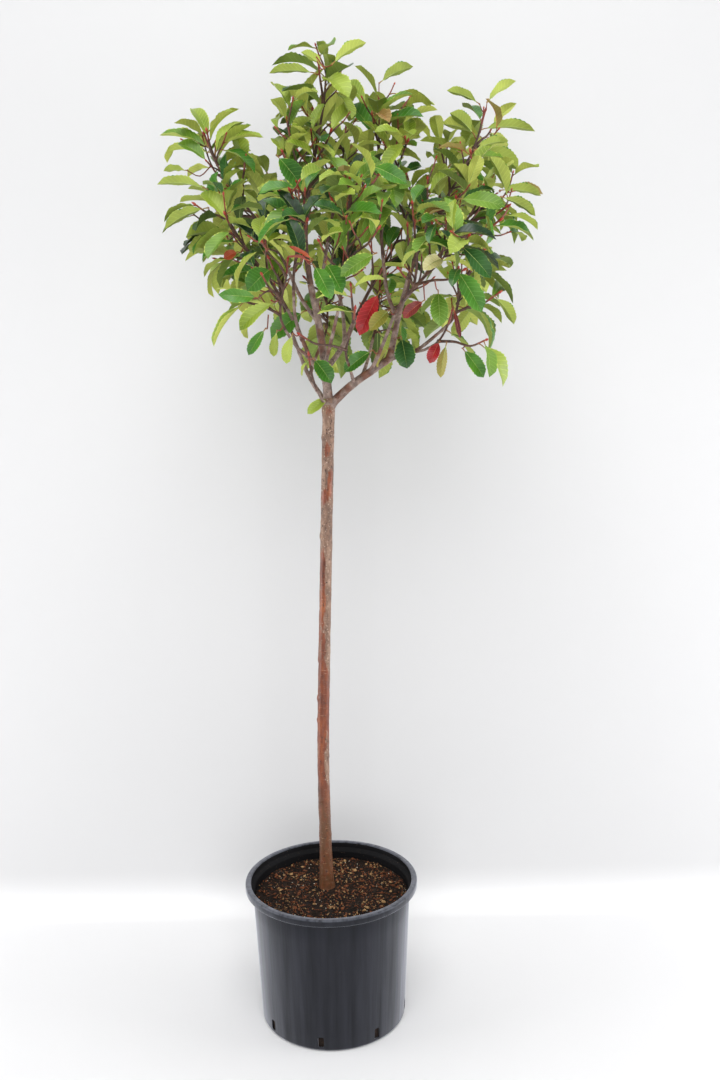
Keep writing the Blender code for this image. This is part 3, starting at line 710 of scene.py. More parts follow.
def makeLitter():
    rng = random.Random("litter")
    tan = chipFinish("tanChip", (126, 88, 54), (196, 160, 112))
    dark = chipFinish("darkCrumb", (16, 10, 7), (50, 34, 23), 0.9)
    russet = chipFinish("russetChip", (84, 42, 24), (140, 84, 50))
    white = chipFinish("perliteGrain", (196, 186, 164), (238, 232, 216))
    thin = {"length": (0.003, 0.012), "width": (0.35, 0.6), "height": (0.3, 0.5)}
    crumb = {"length": (0.0015, 0.0042), "width": (0.6, 1.0), "height": (0.6, 1.0)}
    grain = {"length": (0.0018, 0.0045), "width": (0.7, 1.0), "height": (0.6, 0.9)}
    lump = {"length": (0.008, 0.016), "width": (0.6, 0.85), "height": (0.5, 0.8)}
    scatterLumps("darkCrumbs", dark, "compost", rng, soil["crumbs"], crumb, 0.5)
    scatterLumps("russetChips", russet, "bark_chip", rng, soil["chips"] // 2, thin, 0.7, tilt=0.7)
    scatterLumps("tanChips", tan, "bark_chip", rng, soil["chips"] // 3, thin, 0.7, tilt=0.7, clusters=0.30)
    scatterLumps("tanCrumbs", tan, "bark_chip", rng, soil["crumbs"] // 8, crumb, 0.9, clusters=0.25)
    scatterLumps("russetCrumbs", russet, "bark_chip", rng, soil["crumbs"] // 7, crumb, 0.9)
    scatterLumps("barkLumps", tan, "bark_chip", rng, soil["lumps"], lump, 0.5, 0.25, 0.4, subdivide=2)
    scatterLumps("perliteGrains", white, "perlite", rng, soil["perlite"], grain, 0.8, 0.15, 0.5, subdivide=1)
    fibre = {"length": (0.012, 0.030), "width": (0.05, 0.08), "height": (0.8, 1.0)}
    scatterLumps("rootFibres", russet, "bark_chip", rng, soil["fibres"], fibre, 2.0, 0.1, 0.12)


makeCompost()
makeLitter()
print("compost and its litter laid")


# growth: limbs, shoots and leaves by the same rule as the solids

trunk = {
    "foot": (-0.0088, 0.0142),
    "bends": ((-0.0095, 0.012, 0.340), (-0.0090, 0.008, 0.511), (0.0030, 0.003, 0.832)),
    "fork": (0.0135, 0.0, 1.100),
    "radius": 0.0100,
    "flare": 0.0040,
    "flareHeight": 0.030,
    "headSwell": 0.0010,
    "lowSwell": 0.0008,
    "dome": ((0.006, 0.86), (0.010, 0.55)),
}

boughs = {
    "bough_centre": {"radii": (0.0084, 0.0050),
                     "points": ((0.013, 0.0, 1.095), (0.010, -0.003, 1.143), (0.001, -0.005, 1.220),
                                (-0.012, -0.008, 1.290))},
    "bough_right": {"radii": (0.0076, 0.0058),
                    "points": ((0.014, 0.0, 1.092), (0.055, -0.006, 1.128), (0.120, -0.010, 1.171))},
    "bough_right_up": {"radii": (0.0056, 0.0036),
                       "points": ((0.116, -0.010, 1.168), (0.129, -0.008, 1.228), (0.149, 0.0, 1.300))},
    "bough_right_inner": {"radii": (0.0034, 0.0027),
                          "points": ((0.129, -0.008, 1.230), (0.113, 0.004, 1.278), (0.107, 0.010, 1.335))},
    "bough_right_middle": {"radii": (0.0029, 0.0024),
                           "points": ((0.139, -0.005, 1.262), (0.168, -0.022, 1.292),
                                      (0.190, -0.032, 1.322))},
    "bough_right_low": {"radii": (0.0034, 0.0024),
                        "points": ((0.114, -0.010, 1.167), (0.161, -0.014, 1.182), (0.208, -0.020, 1.218))},
    "bough_front_right": {"radii": (0.0034, 0.0024),
                          "points": ((0.084, -0.009, 1.148), (0.100, -0.046, 1.182), (0.122, -0.080, 1.236))},
    "bough_front_low": {"radii": (0.0028, 0.0022),
                        "points": ((0.056, -0.006, 1.129), (0.052, -0.040, 1.146), (0.046, -0.070, 1.166))},
    "bough_front": {"radii": (0.0034, 0.0024),
                    "points": ((0.008, -0.004, 1.158), (0.020, -0.038, 1.196), (0.034, -0.078, 1.246))},
    "bough_left": {"radii": (0.0040, 0.0028),
                   "points": ((0.010, -0.003, 1.132), (-0.012, -0.010, 1.165), (-0.030, -0.016, 1.208),
                              (-0.050, -0.022, 1.250))},
    "bough_left_low": {"radii": (0.0028, 0.0022),
                       "points": ((-0.016, -0.011, 1.172), (-0.036, -0.038, 1.190), (-0.052, -0.060, 1.216))},
    "bough_left_up": {"radii": (0.0034, 0.0026),
                      "points": ((0.0, -0.005, 1.228), (-0.028, 0.0, 1.268), (-0.050, 0.006, 1.318))},
    "bough_front_left": {"radii": (0.0028, 0.0023),
                         "points": ((-0.027, -0.015, 1.200), (-0.036, -0.046, 1.236),
                                    (-0.036, -0.076, 1.276))},
    "bough_back_right": {"radii": (0.0050, 0.0034),
                         "points": ((0.009, -0.003, 1.150), (0.038, 0.022, 1.190), (0.062, 0.052, 1.240))},
    "bough_back": {"radii": (0.0034, 0.0025),
                   "points": ((0.042, 0.026, 1.196), (0.040, 0.066, 1.236), (0.034, 0.100, 1.282))},
    "bough_back_left": {"radii": (0.0042, 0.0028),
                        "points": ((0.012, 0.001, 1.094), (-0.020, 0.036, 1.142), (-0.048, 0.072, 1.212))},
    "bough_top_back": {"radii": (0.0032, 0.0025),
                       "points": ((-0.005, -0.006, 1.250), (0.006, 0.026, 1.304), (0.016, 0.048, 1.362))},
    "bough_inner_left": {"radii": (0.0030, 0.0022),
                         "points": ((-0.019, 0.035, 1.141), (-0.010, 0.060, 1.170), (0.004, 0.084, 1.204))},
    "bough_inner_right": {"radii": (0.0032, 0.0023),
                          "points": ((0.070, -0.007, 1.139), (0.080, 0.030, 1.168), (0.090, 0.060, 1.204))},
    "bough_hanging": {"radii": (0.0024, 0.0020),
                      "points": ((0.150, -0.013, 1.178), (0.168, -0.034, 1.180), (0.182, -0.052, 1.186))},
    "bough_fork": {"radii": (0.0024, 0.0021),
                   "points": ((0.012, -0.001, 1.094), (0.003, -0.016, 1.103), (-0.004, -0.026, 1.118))},
}

# each mass of foliage: its bough, the tip of its leading shoot, other long tips, side shoots
masses = {
    "foliage_top_left": ("bough_centre", (0.023, -0.010, 1.636), ((-0.042, -0.040, 1.539),), 5),
    "foliage_top_right": ("bough_right_inner", (0.104, 0.010, 1.583), ((0.146, -0.050, 1.500),), 5),
    "foliage_top_back": ("bough_top_back", (0.050, 0.105, 1.560), ((0.0, 0.120, 1.520),), 4),
    "foliage_right_top": ("bough_right_up", (0.276, 0.025, 1.560), ((0.210, 0.080, 1.480),), 5),
    "foliage_right_middle": ("bough_right_middle", (0.264, -0.050, 1.430), ((0.200, -0.095, 1.412),), 5),
    "foliage_right_low": ("bough_right_low", (0.226, -0.030, 1.325), ((0.205, 0.045, 1.305),), 5),
    "foliage_front_right": ("bough_front_right", (0.214, -0.135, 1.350),
                            ((0.147, -0.160, 1.390), (0.128, -0.130, 1.300)), 5),
    "foliage_front_low": ("bough_front_low", (0.060, -0.150, 1.240), (), 2),
    "foliage_front": ("bough_front", (0.056, -0.170, 1.425),
                      ((0.100, -0.185, 1.342), (0.0, -0.150, 1.318)), 5),
    "foliage_front_left": ("bough_front_left", (-0.011, -0.150, 1.412), ((-0.086, -0.120, 1.425),), 4),
    "foliage_left_top": ("bough_left_up", (-0.176, 0.0, 1.526), ((-0.188, -0.050, 1.478),), 5),
    "foliage_left_middle": ("bough_left", (-0.152, -0.030, 1.428), ((-0.085, 0.055, 1.385),), 5),
    "foliage_left_low": ("bough_left_low", (-0.042, -0.105, 1.318), ((-0.056, -0.060, 1.296),), 4),
    "foliage_back_left": ("bough_back_left", (-0.085, 0.150, 1.450), ((-0.040, 0.180, 1.385),), 4),
    "foliage_back": ("bough_back", (0.020, 0.195, 1.440), ((0.060, 0.190, 1.360),), 5),
    "foliage_back_right": ("bough_back_right", (0.165, 0.150, 1.460), ((0.190, 0.110, 1.380),), 4),
    "foliage_inner_left": ("bough_inner_left", (0.010, 0.135, 1.300), ((-0.030, 0.130, 1.268),), 4),
    "foliage_inner_right": ("bough_inner_right", (0.104, 0.112, 1.300), ((0.072, 0.110, 1.262),), 4),
    "foliage_right_hanging": ("bough_hanging", (0.212, -0.080, 1.238), (), 1),
    "foliage_fork": ("bough_fork", (-0.016, -0.040, 1.174), (), 0),
}

shoots = {
    "leadRadius": 0.0021,
    "sideRadius": 0.0017,
    "tipRadius": 0.0010,
    "length": (0.088, 0.130),
    "taper": 0.50,
    "angle": math.radians(48),
    "forkShare": 0.34,
    "start": 0.24,
    "end": 0.80,
    "clear": 0.002,
    "tries": ((0, 1), (0.8, 0.9), (-0.8, 0.9), (1.6, 0.75), (-1.6, 0.75), (0, 0.55)),
}

leaves = {
    "leafyLength": 0.165,
    # the lowest shoots carry leaves near their tips only
    "sparse": {"foliage_fork": 0.022, "foliage_right_hanging": 0.045, "foliage_front_low": 0.048},
    "sizes": {"foliage_fork": 0.58},
    "length": (0.072, 0.092),
    "width": 0.38,
    "bend": 0.17,
    "fold": 0.26,
    "angle": math.radians(50),
    "angleMore": math.radians(34),
    "angleReach": 0.070,
    "hangHeight": 1.30,
    "hangRange": 0.12,
    "first": 0.005,
    "pitch": 0.0122,
    "pitchGrowth": 0.0010,
    "tries": ((0, 0), (0.45, 0), (-0.45, 0), (0, 0.3), (0, -0.3), (0.9, 0.1), (-0.9, 0.1)),
    "nearby": 0.085,
}

space = {"margin": 0.0030, "limbMargin": 0.0015, "reach": 0.050}


def smoothPath(points, steps):
    through = [Vector(p) for p in points]
    ends = [2 * through[0] - through[1]] + through + [2 * through[-1] - through[-2]]
    spans = len(through) - 1
    path = []
    for i in range(steps + 1):
        t = spans * i / steps
        k = min(int(t), spans - 1)
        u = t - k
        a, b, c, d = ends[k:k + 4]
        path.append(0.5 * (2 * b + (c - a) * u + (2 * a - 5 * b + 4 * c - d) * u ** 2
                           + (3 * b - 3 * c + d - a) * u ** 3))
    return path


def bentPath(start, leave, end, arrive, steps):
    reach = (end - start).length * 0.36
    a, b, c, d = start, start + leave * reach, end - arrive * reach, end
    path = []
    for i in range(steps + 1):
        t = i / steps
        s = 1 - t
        path.append(a * s ** 3 + b * (3 * s * s * t) + c * (3 * s * t * t) + d * t ** 3)
    return path


def directionAt(path, i):
    return (path[min(i + 1, len(path) - 1)] - path[max(i - 1, 0)]).normalized()


def tube(path, radii, sides):
    points, faces = [], []
    across = directionAt(path, 0).orthogonal().normalized()
    for i, point in enumerate(path):
        along = directionAt(path, i)
        across = (across - along * across.dot(along)).normalized()
        other = along.cross(across)
        for k in range(sides):
            angle = 2 * math.pi * k / sides
            points.append(point + (across * math.cos(angle) + other * math.sin(angle)) * radii[i])
    for r in range(len(path) - 1):
        for k in range(sides):
            j = (k + 1) % sides
            faces.append((r * sides + k, r * sides + j, (r + 1) * sides + j, (r + 1) * sides + k))
    faces.append(tuple(reversed(range(sides))))
    faces.append(tuple((len(path) - 1) * sides + k for k in range(sides)))
    return points, faces


def stemRadius(height):
    up = height - soil["top"] - seatGap
    down = trunk["fork"][2] - height
    return (trunk["radius"] + trunk["flare"] * math.exp(-up / trunk["flareHeight"])
            + trunk["headSwell"] * math.exp(-(down / 0.03) ** 2) + trunk["lowSwell"] * math.exp(-up / 0.3))


def trunkPath(steps):
    foot = (*trunk["foot"], soil["top"] + seatGap)
    return smoothPath((foot, *trunk["bends"], trunk["fork"]), steps)


def trunkLimb():
    path = trunkPath(15)
    radii = [stemRadius(point.z) for point in path]
    along, head, headRadius = directionAt(path, 15), path[15], radii[15]
    for rise, share in trunk["dome"]:
        path.append(head + along * rise)
        radii.append(headRadius * share)
    return {"path": path, "radii": radii}


def boughLimb(bough, steps=6):
    start, end = bough["radii"]
    path = smoothPath(bough["points"], steps)
    return {"path": path, "radii": [start + (end - start) * i / steps for i in range(steps + 1)]}


def segmentDistances(points, starts, ends):
    p = np.asarray([tuple(v) for v in points])[:, None, :]
    span = ends - starts
    share = ((p - starts) * span).sum(-1) / (span * span).sum(-1)
    share = np.clip(share, 0.0, 1.0)[..., None]
    return np.linalg.norm(p - (starts + share * span), axis=-1)


def limbTable(limbs):
    starts, ends, radii = [], [], []
    for limb in limbs.values():
        for i, (a, b) in enumerate(zip(limb["path"], limb["path"][1:])):
            starts.append(tuple(a))
            ends.append(tuple(b))
            radii.append(max(limb["radii"][i], limb["radii"][i + 1]))
    return np.array(starts), np.array(ends), np.array(radii)


def spaceTable(spines):
    starts, ends, owners = [], [], []
    for name, path in spines.items():
        reached = path + [path[-1] + directionAt(path, len(path) - 1) * space["reach"]]
        for a, b in zip(reached, reached[1:]):
            starts.append(tuple(a))
            ends.append(tuple(b))
            owners.append(name)
    return np.array(starts), np.array(ends), np.array(owners)


def clearOfLimbs(points, table, margin):
    starts, ends, radii = table
    return bool((segmentDistances(points, starts, ends) > radii + margin).all())


def inOwnSpace(points, name, table):
    starts, ends, owners = table
    away = segmentDistances(points, starts, ends)
    own = away[:, owners == name].min(axis=1)
    others = away[:, owners != name].min(axis=1)
    return bool((own + space["margin"] < others).all())


def leadPath(limb, tip):
    leave = directionAt(limb["path"], len(limb["path"]) - 1)
    start = limb["path"][-1] + leave * seatGap
    tip = Vector(tip)
    arrive = ((tip - start).normalized() * 0.6 + Vector((0, 0, 0.7))).normalized()
    return bentPath(start, leave, tip, arrive, 6)


def pointAtShare(path, share):
    spot = share * (len(path) - 1)
    k = min(int(spot), len(path) - 2)
    return path[k].lerp(path[k + 1], spot - k), directionAt(path, k)


def sidePath(stem, share, tip):
    start, along = pointAtShare(stem, share)
    leave = ((tip - start).normalized() * 0.8 + along * 0.5).normalized()
    arrive = ((tip - start).normalized() * 0.7 + Vector((0, 0, 0.5))).normalized()
    return bentPath(start, leave, tip, arrive, 3)


def leafShape(root, along, up, length, width, bend, fold):
    side = along.cross(up)
    middle = root + along * (0.46 * length) + up * (0.45 * bend * length)
    edge = root + along * (0.56 * length) + up * (0.42 * bend * length + fold * width / 2)
    return {
        "root": root, "middle": middle, "left": edge - side * (width / 2), "right": edge + side * (width / 2),
        "tip": root + along * (0.985 * length) - up * (bend * length),
        "along": along, "up": up, "length": length, "width": width, "bend": bend, "fold": fold,
    }


def leafSamples(leaf):
    root, middle, tip = leaf["root"], leaf["middle"], leaf["tip"]
    points = [middle, leaf["left"], leaf["right"], tip]
    for edge in ("left", "right"):
        points.append(leaf[edge].lerp(tip, 0.5))
        points.append(leaf[edge].lerp(root, 0.4))
    points.append(root.lerp(middle, 0.3))
    return points


def leafTree(leaf):
    corners = [leaf[k] for k in ("root", "right", "middle", "left", "tip")]
    return BVHTree.FromPolygons(corners, [(0, 1, 2), (0, 2, 3), (2, 1, 4), (2, 4, 3)])


def pathLength(path):
    return sum((b - a).length for a, b in zip(path, path[1:]))


def pointFromTip(path, back):
    for i in range(len(path) - 1, 0, -1):
        span = (path[i] - path[i - 1]).length
        if back <= span:
            return path[i].lerp(path[i - 1], back / span), (path[i] - path[i - 1]).normalized()
        back -= span
    return None


def growLeaves(path, rng, fits, leafyLength, size=1.0):
    # leaves stand in a spiral, close together at the tip, and arch outwards
    phase = rng.uniform(0, 2 * math.pi)
    leafy = min(leafyLength, 0.86 * pathLength(path))
    back = leaves["first"]
    i = 0
    while back < leafy:
        spot, along = pointFromTip(path, back)
        turn = phase + i * goldenTurn + rng.uniform(-0.25, 0.25)
        openAngle = leaves["angle"] + leaves["angleMore"] * min(1.0, back / leaves["angleReach"])
        openAngle += rng.uniform(-0.14, 0.14)
        length = rng.uniform(*leaves["length"]) * size * (0.72 if i == 0 else 0.9 if i == 1 else 1.0)
        width = length * leaves["width"] * rng.uniform(0.9, 1.1)
        bend = leaves["bend"] * rng.uniform(0.6, 1.5)
        across = along.orthogonal().normalized()
        for moreTurn, moreAngle in leaves["tries"]:
            out = Matrix.Rotation(turn + moreTurn, 3, along) @ across
            angle = openAngle + moreAngle
            hang = min(1.0, max(0.0, (leaves["hangHeight"] - spot.z) / leaves["hangRange"]))
            ahead = along * math.cos(angle) + out * math.sin(angle)
            ahead = (ahead * (1 - 0.5 * hang) - Vector((0, 0, 0.9 * hang))).normalized()
            up = along * 0.8 + Vector((0, 0, 0.6)) - out * 0.2
            up = (up - ahead * up.dot(ahead)).normalized()
            leaf = leafShape(spot, ahead, up, length, width, bend, leaves["fold"])
            leaf["order"] = i
            if fits(leaf):
                break
        back += leaves["pitch"] + leaves["pitchGrowth"] * i
        i += 1


def growMass(name, spine, spaces, limbs, longTips, sideCount):
    rng = random.Random("photinia " + name)
    twigs = [(spine, shoots["leadRadius"], 4)]
    for tip in longTips:
        path = sidePath(spine, shoots["forkShare"], Vector(tip))
        if inOwnSpace(path[1:], name, spaces) and clearOfLimbs(path[1:], limbs, shoots["clear"]):
            twigs.append((path, shoots["sideRadius"], 3))
    phase = rng.uniform(0, 2 * math.pi)
    for k in range(sideCount):
        share = shoots["start"] + (shoots["end"] - shoots["start"]) * k / max(1, sideCount - 1)
        start, along = pointAtShare(spine, share)
        across = along.orthogonal().normalized()
        length = rng.uniform(*shoots["length"]) * (1 - shoots["taper"] * share)
        angle = shoots["angle"] + rng.uniform(-0.15, 0.15)
        for moreTurn, shrink in shoots["tries"]:
            out = Matrix.Rotation(phase + k * goldenTurn + moreTurn, 3, along) @ across
            ahead = along * math.cos(angle) + out * math.sin(angle)
            tip = start + (ahead + Vector((0, 0, 0.15))).normalized() * length * shrink
            path = sidePath(spine, share, tip)
            if inOwnSpace(path[1:], name, spaces) and clearOfLimbs(path[1:], limbs, shoots["clear"]):
                twigs.append((path, shoots["sideRadius"], 3))
                break
    trees = []
    for path, radius, sides in twigs:
        last = len(path) - 1
        radii = [radius + (shoots["tipRadius"] - radius) * i / last for i in range(last + 1)]
        trees.append(BVHTree.FromPolygons(*tube(path, radii, sides)))
    grown = []

    for index, twig in enumerate(twigs):
        def fits(leaf):
            samples = leafSamples(leaf)
            if not inOwnSpace(samples, name, spaces) or not clearOfLimbs(samples, limbs, space["limbMargin"]):
                return False
            shape = leafTree(leaf)
            if any(shape.overlap(tree) for i, tree in enumerate(trees) if i != index):
                return False
            for other, tree in grown:
                near = (other["middle"] - leaf["middle"]).length < leaves["nearby"]
                if near and shape.overlap(tree):
                    return False
            leaf["twig"] = (name, index)
            grown.append((leaf, shape))
            return True
        leafyLength = leaves["sparse"].get(name, leaves["leafyLength"])
        growLeaves(twig[0], rng, fits, leafyLength, leaves["sizes"].get(name, 1.0))
    return [{"path": path, "radius": radius} for path, radius, _ in twigs], grown


limbs = {"trunk": trunkLimb()}
for boughName, bough in boughs.items():
    limbs[boughName] = boughLimb(bough)
spines = {name: leadPath(limbs[mass[0]], mass[1]) for name, mass in masses.items()}
limbRows = limbTable(limbs)
spaceRows = spaceTable(spines)
grownTwigs, grownLeaves = {}, []
for massName, mass in masses.items():
    twigs, grown = growMass(massName, spines[massName], spaceRows, limbRows, mass[2], mass[3])
    grownTwigs[massName] = twigs
    grownLeaves += grown
print("first growth", sum(len(t) for t in grownTwigs.values()), "shoots", len(grownLeaves), "leaves")


# finer growth: short shoots between the first ones, within the reach of their own mass

finer = {
    "shootRadius": 0.0012,
    "tipRadius": 0.0008,
    "length": (0.030, 0.062),
    "angle": math.radians(52),
    "everyLength": 0.026,
    "firstShare": 0.10,
    "lastShare": 0.92,
    "leafSize": 0.94,
    "hullMargin": 0.014,
    "boxMargin": 0.0015,
    "fewestLeaves": 1,
    "tries": ((0, 1), (1.2, 0.9), (-1.2, 0.9), (2.4, 0.8), (-2.4, 0.8)),
}


def hullPlanes(points):
    # outward planes of the convex hull round the points
    mesh = bpy.data.meshes.new("reach")
    mesh.from_pydata([tuple(p) for p in points], [], [])
    holder = bpy.data.objects.new("reach", mesh)
    bpy.context.scene.collection.objects.link(holder)
    pickOnly(holder)
    bpy.ops.object.mode_set(mode="EDIT")
    bpy.ops.mesh.select_all(action="SELECT")
    bpy.ops.mesh.convex_hull()
    bpy.ops.mesh.normals_make_consistent(inside=False)
    bpy.ops.object.mode_set(mode="OBJECT")
    normals = np.array([tuple(face.normal) for face in mesh.polygons])
    offsets = np.array([face.normal.dot(face.center) for face in mesh.polygons])
    bpy.data.objects.remove(holder, do_unlink=True)
    return normals, offsets


def withinHull(points, planes, margin):
    normals, offsets = planes
    p = np.array([tuple(v) for v in points])
    return bool(((p @ normals.T) - offsets < margin).all())


boxLow = np.array(tuple(cadBox[0])) + finer["boxMargin"]
boxHigh = np.array(tuple(cadBox[1])) - finer["boxMargin"]


def withinBox(points):
    p = np.array([tuple(v) for v in points])
    return bool(((p > boxLow) & (p < boxHigh)).all())


class Crowd:
    # what already stands in the crown, looked up by the cell a thing's middle is in
    def __init__(self, cell):
        self.cell = cell
        self.rows = {}

    def key(self, point):
        return tuple(int(math.floor(c / self.cell)) for c in point)

    def add(self, point, tree, owner=None):
        self.rows.setdefault(self.key(point), []).append((point, tree, owner))

    def near(self, point, reach):
        x, y, z = self.key(point)
        for i in (x - 1, x, x + 1):
            for j in (y - 1, y, y + 1):
                for k in (z - 1, z, z + 1):
                    for row in self.rows.get((i, j, k), ()):
                        if (row[0] - point).length < reach:
                            yield row


leafCrowd = Crowd(0.09)
twigCrowd = Crowd(0.09)
for leaf, tree in grownLeaves:
    leafCrowd.add(leaf["middle"], tree)


def addTwigToCrowd(path, radius, owner):
    # each stretch goes in by itself, so a long shoot is found near all of its length
    for a, b in zip(path, path[1:]):
        tree = BVHTree.FromPolygons(*tube([a, b], [radius, radius], 4))
        twigCrowd.add((a + b) / 2, tree, owner)


def growFiner():
    for name, twigs in grownTwigs.items():
        if name in leaves["sparse"]:
            continue
        rng = random.Random("finer " + name)
        own = [leaf for leaf, _ in grownLeaves if leaf["twig"][0] == name]
        outline = [leaf[k] for leaf in own for k in ("root", "left", "right", "tip")]
        planes = hullPlanes(outline + [p for twig in twigs for p in twig["path"]])
        firstTwigs = list(twigs)
        for parent, twig in enumerate(firstTwigs):
            path = twig["path"]
            count = int(pathLength(path) / finer["everyLength"])
            phase = rng.uniform(0, 2 * math.pi)
            first, last = finer["firstShare"], finer["lastShare"]
            for k in range(count):
                share = first + (last - first) * k / max(1, count - 1)
                share = min(0.97, share + rng.uniform(-0.03, 0.03))
                start, along = pointAtShare(path, share)
                across = along.orthogonal().normalized()
                length = rng.uniform(*finer["length"])
                angle = finer["angle"] + rng.uniform(-0.3, 0.2)
                for moreTurn, shrink in finer["tries"]:
                    out = Matrix.Rotation(phase + k * goldenTurn + moreTurn, 3, along) @ across
                    ahead = along * math.cos(angle) + out * math.sin(angle)
                    tip = start + (ahead + Vector((0, 0, 0.2))).normalized() * length * shrink
                    if tryShoot(name, twigs, parent, sidePath(path, share, tip), planes, rng):
                        break


def tryShoot(name, twigs, parent, path, planes, rng):
    if not withinHull(path[1:], planes, 0.0) or not clearOfLimbs(path[1:], limbRows, shoots["clear"]):
        return False
    radii = [finer["shootRadius"]] * 3 + [finer["tipRadius"]]
    shape = BVHTree.FromPolygons(*tube(path[1:], radii[1:], 4))
    centre = path[2]
    for _, tree, _ in leafCrowd.near(centre, 0.075):
        if shape.overlap(tree):
            return False
    for _, tree, owner in twigCrowd.near(centre, 0.075):
        if owner != (name, parent) and shape.overlap(tree):
            return False
    index = len(twigs)
    kept = []

    def fits(leaf):
        samples = leafSamples(leaf)
        if not withinBox(samples) or not withinHull(samples, planes, finer["hullMargin"]):
            return False
        if not clearOfLimbs(samples, limbRows, space["limbMargin"]):
            return False
        tree = leafTree(leaf)
        for _, other, owner in twigCrowd.near(leaf["middle"], 0.08):
            if owner != (name, index) and tree.overlap(other):
                return False
        for _, other, _ in leafCrowd.near(leaf["middle"], leaves["nearby"]):
            if tree.overlap(other):
                return False
        if any(tree.overlap(other) for _, other in kept):
            return False
        leaf["twig"] = (name, index)
        kept.append((leaf, tree))
        return True

    growLeaves(path, rng, fits, leaves["leafyLength"], finer["leafSize"])
    if len(kept) < finer["fewestLeaves"]:
        return False
    twigs.append({"path": path, "radius": finer["shootRadius"], "finer": True})
    addTwigToCrowd(path, finer["shootRadius"], (name, index))
    for leaf, tree in kept:
        leafCrowd.add(leaf["middle"], tree)
        grownLeaves.append((leaf, tree))
    return True


for massName, twigs in grownTwigs.items():
    for index, twig in enumerate(twigs):
        addTwigToCrowd(twig["path"], twig["radius"], (massName, index))
growFiner()
print("finer growth", sum(len(t) for t in grownTwigs.values()), "shoots", len(grownLeaves), "leaves")


# single leaves that stand out in the picture

